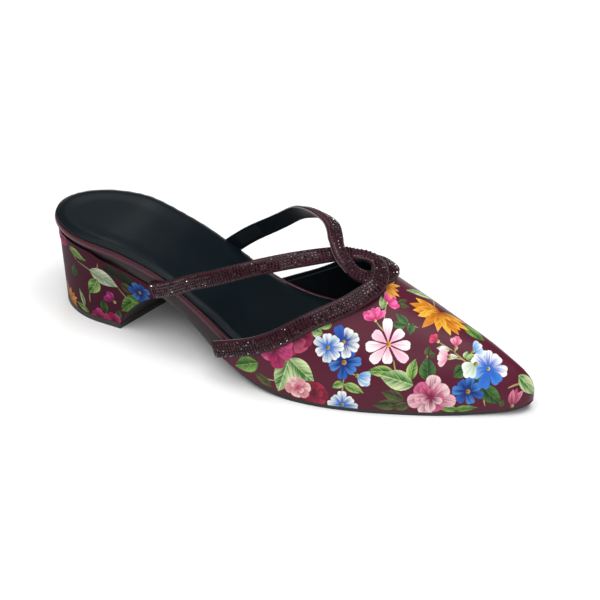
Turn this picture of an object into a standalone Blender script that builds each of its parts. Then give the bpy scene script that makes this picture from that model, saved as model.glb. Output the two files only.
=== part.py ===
"""Pointed mule for the right foot: printed vamp, two linked beaded straps and a low block heel.

Sizes and tables are in millimetres and MM turns them into metres.  X runs from the back of the
heel to the toe, -Y is the outer (lateral) side of the foot, +Y the inner (medial) side and +Z is
up, with the floor at Z = 0.  The last is a row of half-ellipse sections.  A point on it has a
station, its distance along the foot, and an angle: 0 on the outer feather edge, 90 degrees on the
crest and 180 on the inner feather edge.
"""
import math

import bmesh
import bpy
import numpy as np
from mathutils import Vector

MM = 0.001
WELD = 0.00002
SHARP_ANGLE = 40.0
BEVEL_ANGLE = 50.0

# How far either side of a point a slope is measured, in millimetres and in radians
SLOPE_REACH = 0.25
TURN_REACH = 0.004

# Driving sizes of the shoe
LAST_LENGTH = 249.0
GAP = 0.3
VAMP_WALL = 1.8
OUTSOLE_THICK = 3.0
MIDSOLE_THICK = 7.2
INSOLE_THICK = 2.2
INSOLE_ROUND = 0.8
MIDSOLE_INSET = 1.2

# Ends of the sole: the heel is a half ellipse and the toe closes in a rounded point
HEEL_ARC = 38.0
HEEL_BACK = 0.6
TOE_START = 240.0
TOE_TIP_SIDE = 10.4
TOE_NOSE_HEIGHT = 4.0
OUTSOLE_TIP = 250.8
MIDSOLE_TOE_START = 224.0
MIDSOLE_TIP = 238.0
INSOLE_TIP = 235.0

# Block heel: foot is at the floor, seat is under the sole
TOP_LIFT_THICK = 3.0
HEEL_FOOT_BACK = 5.6
HEEL_FOOT_HALF = 22.8
HEEL_FOOT_ARC = 29.0
HEEL_SEAT_BACK = 3.0
HEEL_SEAT_HALF = 24.4
HEEL_SEAT_ARC = 35.0
BREAST_FOOT = 46.5
BREAST_RUN = 25.5
BREAST_CURVE = 0.45
BREAST_SLANT = 0.28
HEEL_PACKING = 1.6
HEEL_SEGMENTS = 10
LIFT_COLUMNS = 4

# Straps
STRAP_THICK = 2.6
STRAP_ROUND = 0.7
STRAP_ROWS = 56
STRAP_COLUMNS = 4
DEGREE_MM = 0.66

# How finely the sheets are divided
VAMP_ROWS = 24
VAMP_COLUMNS = 26
VAMP_PACKING = 1.6
SOLE_COLUMNS = 6
HEEL_ROWS = 8
MIDDLE_ROWS = 26
TOE_ROWS = 6

# Underside of the sole: station and height over the floor
GROUND = (
    ("station", "height"),
    (0, 37.0), (34, 36.6), (60, 31.8), (85, 21.7), (110, 9.0), (132, 2.2),
    (150, 0.0), (205, 0.0), (232, 0.8), (252, 2.8),
)

# Sections of the last: half widths at the feather edge, side shift of the crest, crest height
LAST = (
    ("station", "lateral", "medial", "axis", "crest"),
    (38, 26.7, 26.7, 0.0, 134.0),
    (70, 26.6, 25.1, 0.2, 110.5),
    (105, 32.4, 27.1, 1.3, 86.0),
    (120, 34.6, 30.0, 2.2, 76.5),
    (135, 35.6, 34.0, 3.2, 68.5),
    (150, 34.9, 37.0, 4.2, 60.3),
    (165, 32.4, 38.2, 5.4, 52.5),
    (180, 28.0, 37.0, 6.6, 45.3),
    (195, 22.2, 33.4, 7.8, 39.2),
    (210, 15.5, 28.0, 8.9, 33.6),
    (225, 7.8, 22.0, 9.9, 28.0),
    (240, -0.6, 15.8, 10.3, 20.6),
)

# Outline of the outsole: narrower than the midsole at the waist, a step wider under the vamp
OUTSOLE = (
    ("station", "lateral", "medial"),
    (38, 25.0, 25.0), (70, 24.6, 23.2), (95, 28.6, 24.4), (108, 33.0, 27.2), (120, 36.2, 31.6),
    (135, 38.0, 36.4), (150, 37.4, 39.5), (165, 34.9, 40.7), (180, 30.5, 39.6), (195, 24.7, 36.0),
    (210, 18.1, 30.6), (225, 10.2, 24.4), (240, 1.2, 17.8),
)

# Inset of the insole: it reaches the edge beside the open heel and stays clear of the vamp's wall
INSOLE = (
    ("station", "inset"),
    (38, 1.7), (84, 1.7), (100, 3.2), (224, 3.2),
)

# Throat of the vamp on its outer half; the inner half is its mirror and sits lower at the side
THROAT_DROP = 3.0
TOPLINE = (
    ("angle", "station"),
    (0, 104.5), (7, 111.5), (16, 123.0), (28, 137.0), (45, 151.5), (59, 161.0), (75, 167.5), (90, 169.0),
)

# Strap of the outer side: from the heel up to the throat, round the other strap, back along the vamp
STRAP_NEAR = (
    ("station", "angle", "lift", "width"),
    (67.6, -1.2, -3.0, 8.2),
    (74.4, 3.4, -2.6, 7.8),
    (91.6, 18.7, -1.0, 7.3),
    (106.2, 32.8, 0.0, 7.2),
    (122.1, 49.2, 0.0, 7.2),
    (139.5, 68.6, 0.0, 7.2),
    (149.3, 83.8, 0.0, 7.0),
    (155.4, 94.2, 0.4, 6.6),
    (160.4, 98.0, 2.4, 6.6),
    (165.2, 97.2, 3.4, 7.0),
    (168.9, 92.0, 3.4, 7.8),
    (171.0, 85.5, 3.4, 8.2),
    (171.3, 77.4, 3.4, 8.2),
    (169.4, 70.5, 3.0, 8.2),
    (163.4, 57.4, 0.5, 8.2),
    (152.9, 42.7, 0.0, 8.2),
    (137.7, 24.5, 0.0, 8.2),
    (114.6, 6.7, 0.0, 8.2),
    (107.0, 1.2, 0.0, 8.2),
)

# Strap of the inner side: over the other strap, then under its bend, back along the far throat
STRAP_FAR = (
    ("station", "angle", "lift", "width"),
    (78.5, 180.6, -3.0, 8.2),
    (84.0, 174.5, -2.6, 8.2),
    (95.4, 161.6, -1.0, 8.2),
    (114.9, 136.2, 0.0, 8.2),
    (124.5, 120.0, 1.0, 8.6),
    (132.6, 110.8, 2.9, 9.0),
    (138.8, 105.2, 3.7, 8.8),
    (142.4, 99.4, 3.8, 8.0),
    (145.4, 93.0, 3.7, 7.2),
    (150.8, 84.2, 3.4, 6.2),
    (155.8, 80.6, 3.3, 6.0),
    (161.2, 80.4, 0.8, 6.4),
    (166.0, 83.0, 0.0, 7.2),
    (169.8, 88.5, 0.0, 8.2),
    (171.9, 97.0, 0.0, 8.2),
    (171.6, 107.0, 1.6, 8.2),
    (167.6, 117.0, 1.6, 8.2),
    (160.8, 126.0, 0.4, 8.2),
    (152.4, 137.0, 0.0, 8.2),
    (137.7, 157.0, 0.0, 8.2),
    (122.0, 170.3, 0.0, 8.2),
    (110.5, 179.2, 0.0, 8.2),
)

# Finishes: colour, roughness and metallic value
FINISHES = {
    "outsole": ((0.018, 0.016, 0.017), 0.55, 0.0),
    "midsole": ((0.100, 0.012, 0.028), 0.42, 0.0),
    "insole": ((0.010, 0.015, 0.018), 0.38, 0.0),
    "heel": ((0.090, 0.010, 0.026), 0.40, 0.0),
    "top_lift": ((0.022, 0.018, 0.018), 0.60, 0.0),
    "vamp": ((0.110, 0.012, 0.030), 0.40, 0.0),
    "strap_near": ((0.070, 0.008, 0.018), 0.25, 0.0),
    "strap_far": ((0.070, 0.008, 0.018), 0.25, 0.0),
}


def column(table, name):
    """Return one named column of a table as an array."""
    place = table[0].index(name)
    return np.array([row[place] for row in table[1:]], dtype=float)


def held_curve(across, values):
    """Return a smooth function through the points that stays flat where the points are level."""
    step = np.diff(across)
    rise = np.diff(values) / step
    lean = np.zeros(len(across))
    lean[0], lean[-1] = rise[0], rise[-1]
    for k in range(1, len(across) - 1):
        if rise[k - 1] * rise[k] > 0:
            lean[k] = 2 * rise[k - 1] * rise[k] / (rise[k - 1] + rise[k])

    def value(x):
        x = min(max(x, across[0]), across[-1])
        k = min(int(np.searchsorted(across, x, "right")) - 1, len(step) - 1)
        t = (x - across[k]) / step[k]
        start = (1 + 2 * t) * (1 - t) ** 2
        leaving = lean[k] * t * (1 - t) ** 2
        arriving = lean[k + 1] * t * t * (1 - t)
        return start * values[k] + (1 - start) * values[k + 1] + step[k] * (leaving - arriving)

    return value


def fair_curve(across, values):
    """Return the natural cubic spline through the points, level in curvature from row to row."""
    count = len(across)
    step = np.diff(across)
    rise = np.diff(values) / step
    matrix = np.eye(count)
    right = np.zeros(count)
    for k in range(1, count - 1):
        matrix[k, k - 1:k + 2] = step[k - 1], 2 * (step[k - 1] + step[k]), step[k]
        right[k] = 6 * (rise[k] - rise[k - 1])
    bend = np.linalg.solve(matrix, right)

    def value(x):
        x = min(max(x, across[0]), across[-1])
        k = min(int(np.searchsorted(across, x, "right")) - 1, count - 2)
        a = (across[k + 1] - x) / step[k]
        b = 1 - a
        sag = (a ** 3 - a) * bend[k] + (b ** 3 - b) * bend[k + 1]
        return a * values[k] + b * values[k + 1] + sag * step[k] ** 2 / 6

    return value


ground = held_curve(column(GROUND, "station"), column(GROUND, "height"))
LAST_STATIONS = column(LAST, "station")
last_lateral = fair_curve(LAST_STATIONS, column(LAST, "lateral"))
last_medial = fair_curve(LAST_STATIONS, column(LAST, "medial"))
last_axis = fair_curve(LAST_STATIONS, column(LAST, "axis"))
last_crest = fair_curve(LAST_STATIONS, column(LAST, "crest"))
OUTSOLE_STATIONS = column(OUTSOLE, "station")
outsole_lateral = fair_curve(OUTSOLE_STATIONS, column(OUTSOLE, "lateral"))
outsole_medial = fair_curve(OUTSOLE_STATIONS, column(OUTSOLE, "medial"))
insole_inset = held_curve(column(INSOLE, "station"), column(INSOLE, "inset"))
throat_station = held_curve(column(TOPLINE, "angle"), column(TOPLINE, "station"))


def throat_start(angle):
    """Return the station of the throat's edge at an angle round the last."""
    if angle <= 90:
        return throat_station(angle)
    mirrored = 180 - angle
    return throat_station(mirrored + THROAT_DROP * (90 - mirrored) / 90)


def ground_lean(x):
    """Return the angle at which the underside climbs at x."""
    rise = ground(x + SLOPE_REACH) - ground(x - SLOPE_REACH)
    return math.atan(rise / (2 * SLOPE_REACH))


def over_ground(x, height):
    """Return the height of a layer that lies parallel to the underside at x."""
    return ground(x) + height / math.cos(ground_lean(x))


def layer_point(x, y, height):
    """Return the point that stands square on the underside at a height."""
    lean = ground_lean(x)
    return x - height * math.sin(lean), y, ground(x) + height * math.cos(lean)


def closing(curve, start, tip, end, share):
    """Carry a curve on past its start and round it off to an end value at the tip."""
    lean = (curve(start) - curve(start - SLOPE_REACH)) / SLOPE_REACH
    handle = curve(start) + lean * (tip - start)
    return (1 - share) ** 2 * curve(start) + 2 * share * (1 - share) * handle + share ** 2 * end


def rounded_reach(start, tip, share):
    """Return how far forward the rounded toe has come at a share of its length."""
    return tip - (tip - start) * (1 - share) ** 2


def last_section(station):
    """Return x, outer y, inner y, crest y, feather z and crest z of the last at a station."""
    feather_height = OUTSOLE_THICK + GAP
    if station <= TOE_START:
        sides = -last_lateral(station), last_medial(station), last_axis(station)
        return (station, *sides, over_ground(station, feather_height), last_crest(station))
    share = (station - TOE_START) / (LAST_LENGTH - TOE_START)
    x = rounded_reach(TOE_START, LAST_LENGTH, share)
    near, far, middle = (
        closing(curve, TOE_START, LAST_LENGTH, TOE_TIP_SIDE, share)
        for curve in (lambda s: -last_lateral(s), last_medial, last_axis)
    )
    nose = over_ground(LAST_LENGTH, feather_height) + TOE_NOSE_HEIGHT
    crest = closing(last_crest, TOE_START, LAST_LENGTH, nose, share)
    return x, near, far, middle, over_ground(x, feather_height), crest


def last_point(station, angle):
    """Return a point on the last."""
    x, near, far, middle, feather, crest = last_section(station)
    side = math.cos(angle)
    half = middle - near if side > 0 else far - middle
    return Vector((x, middle - side * half, feather + (crest - feather) * math.sin(angle)))


def last_slopes(station, angle):
    """Return how a point on the last moves for each millimetre of station and each radian."""
    station = min(station, LAST_LENGTH - 2 * SLOPE_REACH)
    forward = last_point(station + SLOPE_REACH, angle) - last_point(station - SLOPE_REACH, angle)
    upward = last_point(station, angle + TURN_REACH) - last_point(station, angle - TURN_REACH)
    return forward / (2 * SLOPE_REACH), upward / (2 * TURN_REACH)


def strap_route(table):
    """Return a strap's length and, as functions of the place along it, station, angle, lift and width."""
    station = column(table, "station")
    angle = column(table, "angle")
    steps = np.hypot(np.diff(station), np.diff(angle) * DEGREE_MM)
    length = np.concatenate(([0.0], np.cumsum(steps)))
    station_at = fair_curve(length, station)
    angle_at = fair_curve(length, np.radians(angle))
    lift_at, width_at = (held_curve(length, column(table, name)) for name in ("lift", "width"))
    return length[-1], station_at, angle_at, lift_at, width_at


def strap_point(route, along, across):
    """Return a point on the inner face of a strap; along and across run from 0 to 1."""
    total, station_at, angle_at, lift_at, width_at = route
    place = along * total
    station, angle = station_at(place), angle_at(place)
    forward, upward = last_slopes(station, angle)
    normal = forward.cross(upward).normalized()
    low, high = max(place - SLOPE_REACH, 0), min(place + SLOPE_REACH, total)
    heading = forward * (station_at(high) - station_at(low)) + upward * (angle_at(high) - angle_at(low))
    sideways = normal.cross(heading.normalized()) * (across - 0.5) * width_at(place)
    crossing = forward.dot(upward)
    spread = forward.dot(forward) * upward.dot(upward) - crossing ** 2
    station += (sideways.dot(forward) * upward.dot(upward) - sideways.dot(upward) * crossing) / spread
    angle += (sideways.dot(upward) * forward.dot(forward) - sideways.dot(forward) * crossing) / spread
    forward, upward = last_slopes(station, angle)
    clearance = VAMP_WALL + GAP + lift_at(place)
    return last_point(station, angle) + forward.cross(upward).normalized() * clearance


def level(value):
    """Return a function that has one value all along the shoe."""
    return lambda station: value


def outline(lateral, medial, inset, back, toe_start, tip):
    """Return a function of station that gives x and the two edges of a sole layer, inset by a function."""
    def near_edge(station):
        return inset(station) - lateral(station)

    def far_edge(station):
        return medial(station) - inset(station)

    def edges(station):
        if station < HEEL_ARC:
            bend = math.sqrt(1 - (1 - station / HEEL_ARC) ** 2)
            x = back + station * (HEEL_ARC - back) / HEEL_ARC
            return x, near_edge(HEEL_ARC) * bend, far_edge(HEEL_ARC) * bend
        if station <= toe_start:
            return station, near_edge(station), far_edge(station)
        share = (station - toe_start) / (tip - toe_start)
        near, far = (
            closing(edge, toe_start, tip, TOE_TIP_SIDE, share) for edge in (near_edge, far_edge)
        )
        return rounded_reach(toe_start, tip, share), near, far

    return edges


def sole_stations(toe_start, tip):
    """Return the rows of a sole layer, close together round the heel and the toe."""
    heel = [HEEL_ARC * (1 - math.cos(math.pi / 2 * k / HEEL_ROWS)) for k in range(HEEL_ROWS)]
    middle = list(np.linspace(HEEL_ARC, toe_start, MIDDLE_ROWS + 1))
    toe = list(np.linspace(toe_start, tip, TOE_ROWS + 1))[1:]
    return heel + middle + toe


def finish(name):
    """Return the material of a piece."""
    colour, roughness, metallic = FINISHES[name]
    material = bpy.data.materials.new(name)
    material.use_nodes = True
    shader = material.node_tree.nodes["Principled BSDF"]
    shader.inputs["Base Color"].default_value = (*colour, 1.0)
    shader.inputs["Roughness"].default_value = roughness
    shader.inputs["Metallic"].default_value = metallic
    return material


def make_object(name, bm, parent, collection):
    """Turn a bmesh into a named, finished object under its parent."""
    bmesh.ops.remove_doubles(bm, verts=bm.verts, dist=WELD)
    mesh = bpy.data.meshes.new(name)
    bm.to_mesh(mesh)
    bm.free()
    mesh.shade_smooth()
    mesh.set_sharp_from_angle(angle=math.radians(SHARP_ANGLE))
    mesh.materials.append(finish(name))
    piece = bpy.data.objects.new(name, mesh)
    piece.parent = parent
    collection.objects.link(piece)
    return piece


def shaped_sheet(rows, columns, place):
    """Return a grid whose corners run from 0 to 1 both ways, laid out by a place function."""
    bm = bmesh.new()
    bmesh.ops.create_grid(bm, x_segments=rows, y_segments=columns, size=1.0)
    for vert in bm.verts:
        vert.co = Vector(place((vert.co.x + 1) / 2, (vert.co.y + 1) / 2)) * MM
    return bm


def shaped_block(segments, place):
    """Return a divided cube whose corners run from 0 to 1, laid out by a place function."""
    bm = bmesh.new()
    bmesh.ops.create_cube(bm, size=2.0)
    bmesh.ops.subdivide_edges(bm, edges=bm.edges, cuts=segments - 1, use_grid_fill=True)
    for vert in bm.verts:
        vert.co = Vector(place(*((value + 1) / 2 for value in vert.co))) * MM
    return bm


def thicken(piece, thickness):
    """Give a sheet its wall on the side that its faces point to."""
    wall = piece.modifiers.new("Wall", "SOLIDIFY")
    wall.thickness = thickness * MM
    wall.offset = 1.0
    wall.use_even_offset = True
    wall.use_quality_normals = True


def round_edges(piece, width):
    """Take the sharp edges off a piece."""
    bevel = piece.modifiers.new("Edge", "BEVEL")
    bevel.width = width * MM
    bevel.segments = 1
    bevel.limit_method = "ANGLE"
    bevel.angle_limit = math.radians(BEVEL_ANGLE)


def sole_layer(edges, stations, height):
    """Return the lower face of a sole layer as a sheet."""
    rows = len(stations) - 1

    def place(along, across):
        x, near, far = edges(stations[round(along * rows)])
        return layer_point(x, near + (far - near) * across, height)

    return shaped_sheet(rows, SOLE_COLUMNS, place)


def heel_plan(along, across, rise):
    """Return x and y in the heel; rise goes from 0 at its foot to 1 at its seat."""
    def between(foot, seat):
        return foot + (seat - foot) * rise

    half = between(HEEL_FOOT_HALF, HEEL_SEAT_HALF)
    back = between(HEEL_FOOT_BACK, HEEL_SEAT_BACK)
    arc = between(HEEL_FOOT_ARC, HEEL_SEAT_ARC)
    side = 2 * across - 1
    breast = BREAST_FOOT + BREAST_RUN * ((1 - BREAST_CURVE) * rise + BREAST_CURVE * rise ** 2)
    front = breast + BREAST_SLANT * half * (1 + side)
    depth = (front - back) * along ** HEEL_PACKING
    bend = math.sqrt(1 - (1 - depth / arc) ** 2) if depth < arc else 1.0
    return back + depth, half * bend * side


def heel_point(along, across, rise):
    """Return a point of the heel block, between the top lift and the underside of the sole."""
    x, y = heel_plan(along, across, rise)
    foot = TOP_LIFT_THICK + GAP
    seat = over_ground(x, -GAP)
    return x, y, foot + (seat - foot) * rise


def build_sole(parent, collection):
    """Build the outsole, the wrapped midsole and the padded insole."""
    edges = outline(outsole_lateral, outsole_medial, level(0.0), HEEL_BACK, TOE_START, OUTSOLE_TIP)
    bm = sole_layer(edges, sole_stations(TOE_START, OUTSOLE_TIP), 0.0)
    thicken(make_object("outsole", bm, parent, collection), OUTSOLE_THICK)

    inset = level(MIDSOLE_INSET)
    edges = outline(last_lateral, last_medial, inset, HEEL_BACK, MIDSOLE_TOE_START, MIDSOLE_TIP)
    bm = sole_layer(edges, sole_stations(MIDSOLE_TOE_START, MIDSOLE_TIP), OUTSOLE_THICK + GAP)
    thicken(make_object("midsole", bm, parent, collection), MIDSOLE_THICK)

    back = HEEL_BACK + insole_inset(HEEL_ARC) - MIDSOLE_INSET
    edges = outline(last_lateral, last_medial, insole_inset, back, MIDSOLE_TOE_START, INSOLE_TIP)
    height = OUTSOLE_THICK + MIDSOLE_THICK + 2 * GAP
    bm = sole_layer(edges, sole_stations(MIDSOLE_TOE_START, INSOLE_TIP), height)
    insole = make_object("insole", bm, parent, collection)
    thicken(insole, INSOLE_THICK)
    round_edges(insole, INSOLE_ROUND)


def build_heel(parent, collection):
    """Build the covered heel block and the top lift that it stands on."""
    make_object("heel", shaped_block(HEEL_SEGMENTS, heel_point), parent, collection)

    def lift_point(along, across):
        return (*heel_plan(along, across, 0.0), 0.0)

    lift = shaped_sheet(HEEL_SEGMENTS, LIFT_COLUMNS, lift_point)
    thicken(make_object("top_lift", lift, parent, collection), TOP_LIFT_THICK)


def build_vamp(parent, collection):
    """Build the hollow vamp: the last's own surface from the throat to the toe, with its wall."""
    def place(along, across):
        angle = across * 180
        start = throat_start(angle)
        station = LAST_LENGTH - (LAST_LENGTH - start) * (1 - along) ** VAMP_PACKING
        return last_point(station, math.radians(angle))

    vamp = make_object("vamp", shaped_sheet(VAMP_ROWS, VAMP_COLUMNS, place), parent, collection)
    thicken(vamp, VAMP_WALL)


def build_strap(name, table, parent, collection):
    """Build one strap as a band that follows the last at its own lift."""
    route = strap_route(table)
    bm = shaped_sheet(STRAP_ROWS, STRAP_COLUMNS, lambda along, across: strap_point(route, along, across))
    strap = make_object(name, bm, parent, collection)
    thicken(strap, STRAP_THICK)
    round_edges(strap, STRAP_ROUND)


def stand_on_origin(root, collection):
    """Move the shoe so that the origin is under the middle of its box, on the floor."""
    bpy.context.view_layer.update()
    graph = bpy.context.evaluated_depsgraph_get()
    corners = np.array([
        piece.matrix_world @ Vector(corner)
        for piece in (item.evaluated_get(graph) for item in collection.objects if item.type == "MESH")
        for corner in piece.bound_box
    ])
    low, high = corners.min(axis=0), corners.max(axis=0)
    root.location = (-(low[0] + high[0]) / 2, -(low[1] + high[1]) / 2, -low[2])


def main():
    """Build the mule."""
    for leftover in list(bpy.data.objects):
        bpy.data.objects.remove(leftover, do_unlink=True)
    collection = bpy.data.collections.new("mule")
    bpy.context.scene.collection.children.link(collection)
    root = bpy.data.objects.new("mule_root", None)
    collection.objects.link(root)
    build_sole(root, collection)
    build_heel(root, collection)
    build_vamp(root, collection)
    build_strap("strap_near", STRAP_NEAR, root, collection)
    build_strap("strap_far", STRAP_FAR, root, collection)
    stand_on_origin(root, collection)


main()
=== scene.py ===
"""Looks of the mule: printed satin vamp, linked beaded straps, padded insole and a covered block heel.

Sizes are in millimetres in the shoe's own frame: X runs from the back of the heel to the toe, -Y is
the outer side of the foot and Z is the height over the floor.  The last is a row of half-ellipse
sections, as in the part's source.  A place on it is a station, its distance along the foot, and an
angle: 0 degrees on the outer feather edge, 90 on the crest and 180 on the inner feather edge.
"""

import logging
import math
from dataclasses import dataclass, field
from enum import Enum
from typing import Callable, Sequence

import bpy
import numpy as np
from mathutils import Matrix, Vector
from mathutils.geometry import delaunay_2d_cdt
from mathutils.kdtree import KDTree


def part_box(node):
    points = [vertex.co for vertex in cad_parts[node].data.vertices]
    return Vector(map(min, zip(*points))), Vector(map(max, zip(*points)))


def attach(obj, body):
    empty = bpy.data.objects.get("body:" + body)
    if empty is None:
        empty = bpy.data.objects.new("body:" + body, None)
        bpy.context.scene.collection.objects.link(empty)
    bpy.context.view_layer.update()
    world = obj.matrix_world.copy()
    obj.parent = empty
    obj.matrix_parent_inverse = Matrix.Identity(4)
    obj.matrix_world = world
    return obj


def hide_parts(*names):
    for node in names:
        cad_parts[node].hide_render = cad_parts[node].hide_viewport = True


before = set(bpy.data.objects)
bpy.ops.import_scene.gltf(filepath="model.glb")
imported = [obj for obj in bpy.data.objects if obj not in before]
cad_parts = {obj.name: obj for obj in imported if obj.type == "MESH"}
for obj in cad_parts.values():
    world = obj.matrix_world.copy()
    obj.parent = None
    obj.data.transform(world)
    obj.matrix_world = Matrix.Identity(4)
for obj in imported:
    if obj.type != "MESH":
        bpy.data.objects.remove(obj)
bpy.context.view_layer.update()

LOG = logging.getLogger("mule")
Array = np.ndarray
Table = Sequence[tuple]
Pair = tuple[float, float]
Three = tuple[float, float, float]
Piece = bpy.types.Object
Material = bpy.types.Material
Tree = bpy.types.NodeTree
Node = bpy.types.Node
Socket = bpy.types.NodeSocket
Sockets = bpy.types.NodeInputs
MM = 0.001
BODY = "root"

# Driving sizes of the shoe
LAST_LENGTH = 249.0
GAP = 0.3
VAMP_WALL = 1.8
OUTSOLE_THICK = 3.0
MIDSOLE_THICK = 7.2
INSOLE_THICK = 2.2
MIDSOLE_INSET = 1.2
HEEL_ARC = 38.0
HEEL_BACK = 0.6
TOE_START = 240.0
TOE_TIP_SIDE = 10.4
TOE_NOSE_HEIGHT = 4.0
OUTSOLE_TIP = 250.8
MIDSOLE_TOE_START = 224.0
MIDSOLE_TIP = 238.0
INSOLE_TIP = 235.0
THROAT_DROP = 3.0
DEGREE_MM = 0.66

# How far either side of a point a slope is measured, in millimetres and in radians
SLOPE_REACH = 0.25
TURN_REACH = 0.004

# Stops at which the last is measured, and the stretch at its tip that turns to face the front
FIRST_STOP = 30.0
STOP_STEP = 0.1
TIP_BLEND = 4.0

# Shares of a sole sheet's rows in the heel and in the middle, and the steps along its edge
HEEL_SHARE = 0.2
MIDDLE_SHARE = 0.65
PLAN_MARKS = 400
RING_MARKS = 600

# Angles between faces, in degrees, past which an edge stays sharp
SHARP_ANGLE = 40.0
SOFT_ANGLE = 60.0
ALL_SOFT = 180.0

# Vertices closer than this, in metres, become one
WELD = 0.00001

# Underside of the sole: station and height over the floor
GROUND = (
    ("station", "height"),
    (0, 37.0), (34, 36.6), (60, 31.8), (85, 21.7), (110, 9.0), (132, 2.2),
    (150, 0.0), (205, 0.0), (232, 0.8), (252, 2.8),
)

# Sections of the last: half widths at the feather edge, side shift of the crest, crest height
LAST = (
    ("station", "lateral", "medial", "axis", "crest"),
    (38, 26.7, 26.7, 0.0, 134.0), (70, 26.6, 25.1, 0.2, 110.5), (105, 32.4, 27.1, 1.3, 86.0),
    (120, 34.6, 30.0, 2.2, 76.5), (135, 35.6, 34.0, 3.2, 68.5), (150, 34.9, 37.0, 4.2, 60.3),
    (165, 32.4, 38.2, 5.4, 52.5), (180, 28.0, 37.0, 6.6, 45.3), (195, 22.2, 33.4, 7.8, 39.2),
    (210, 15.5, 28.0, 8.9, 33.6), (225, 7.8, 22.0, 9.9, 28.0), (240, -0.6, 15.8, 10.3, 20.6),
)

# Outline of the outsole: narrower than the midsole at the waist, a step wider under the vamp
OUTSOLE = (
    ("station", "lateral", "medial"),
    (38, 25.0, 25.0), (70, 24.6, 23.2), (95, 28.6, 24.4), (108, 33.0, 27.2), (120, 36.2, 31.6),
    (135, 38.0, 36.4), (150, 37.4, 39.5), (165, 34.9, 40.7), (180, 30.5, 39.6), (195, 24.7, 36.0),
    (210, 18.1, 30.6), (225, 10.2, 24.4), (240, 1.2, 17.8),
)

# Inset of the insole: it reaches the edge beside the open heel and stays clear of the vamp's wall
INSOLE = (
    ("station", "inset"),
    (38, 1.7), (84, 1.7), (100, 3.2), (224, 3.2),
)

# Throat of the vamp on its outer half; the inner half is its mirror and sits lower at the side
TOPLINE = (
    ("angle", "station"),
    (0, 104.5), (7, 111.5), (16, 123.0), (28, 137.0), (45, 151.5), (59, 161.0), (75, 167.5), (90, 169.0),
)

# Strap of the outer side: from the heel up to the throat, round the other strap, back along the vamp
STRAP_NEAR = (
    ("station", "angle", "lift", "width"),
    (67.6, -1.2, -3.0, 8.2), (74.4, 3.4, -2.6, 7.8), (91.6, 18.7, -1.0, 7.3), (106.2, 32.8, 0.0, 7.2),
    (122.1, 49.2, 0.0, 7.2), (139.5, 68.6, 0.0, 7.2), (149.3, 83.8, 0.0, 7.0), (155.4, 94.2, 0.4, 6.6),
    (160.4, 98.0, 2.4, 6.6), (165.2, 97.2, 3.4, 7.0), (168.9, 92.0, 3.4, 7.8), (171.0, 85.5, 3.4, 8.2),
    (171.3, 77.4, 3.4, 8.2), (169.4, 70.5, 3.0, 8.2), (163.4, 57.4, 0.5, 8.2), (152.9, 42.7, 0.0, 8.2),
    (137.7, 24.5, 0.0, 8.2), (114.6, 6.7, 0.0, 8.2), (107.0, 1.2, 0.0, 8.2),
)

# Strap of the inner side: over the other strap, then under its bend, back along the far throat
STRAP_FAR = (
    ("station", "angle", "lift", "width"),
    (78.5, 180.6, -3.0, 8.2), (84.0, 174.5, -2.6, 8.2), (95.4, 161.6, -1.0, 8.2), (114.9, 136.2, 0.0, 8.2),
    (124.5, 120.0, 1.0, 8.6), (132.6, 110.8, 2.9, 9.0), (138.8, 105.2, 3.7, 8.8), (142.4, 99.4, 3.8, 8.0),
    (145.4, 93.0, 3.7, 7.2), (150.8, 84.2, 3.4, 6.2), (155.8, 80.6, 3.3, 6.0), (161.2, 80.4, 0.8, 6.4),
    (166.0, 83.0, 0.0, 7.2), (169.8, 88.5, 0.0, 8.2), (171.9, 97.0, 0.0, 8.2), (171.6, 107.0, 1.6, 8.2),
    (167.6, 117.0, 1.6, 8.2), (160.8, 126.0, 0.4, 8.2), (152.4, 137.0, 0.0, 8.2), (137.7, 157.0, 0.0, 8.2),
    (122.0, 170.3, 0.0, 8.2), (110.5, 179.2, 0.0, 8.2),
)

# Inner strap: rows of stones as shares of its width, the share of its length from which it has the first
# row, the shares between which its cut edge is drawn grey as a painted highlight, and the lengths between
# which its seam is patched
FAR_ROWS = (0.145, 0.32, 0.495, 0.67, 0.845)
FAR_ROW_START = 0.4
FAR_EDGE_HIGHLIGHT = (0.2, 0.53)
FAR_SEAM = (11.0, 25.5)


def column(table: Table, name: str) -> Array:
    """Return one named column of a table as numbers."""
    place = table[0].index(name)
    return np.array([row[place] for row in table[1:]], dtype=float)


def smooth_step(low: float, high: float, value: Array) -> Array:
    """Return 0 below low, 1 above high and a soft ramp between them."""
    share = np.clip((np.asarray(value, float) - low) / (high - low), 0, 1)
    return share * share * (3 - 2 * share)


def unit(vectors: Array) -> Array:
    """Return rows of vectors at length 1."""
    return vectors / np.maximum(np.linalg.norm(vectors, axis=-1, keepdims=True), 1e-9)


class Bend(Enum):
    """How a curve runs through its points."""

    HELD = "no overshoot, flat where the points are level"
    FAIR = "natural cubic spline"


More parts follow.
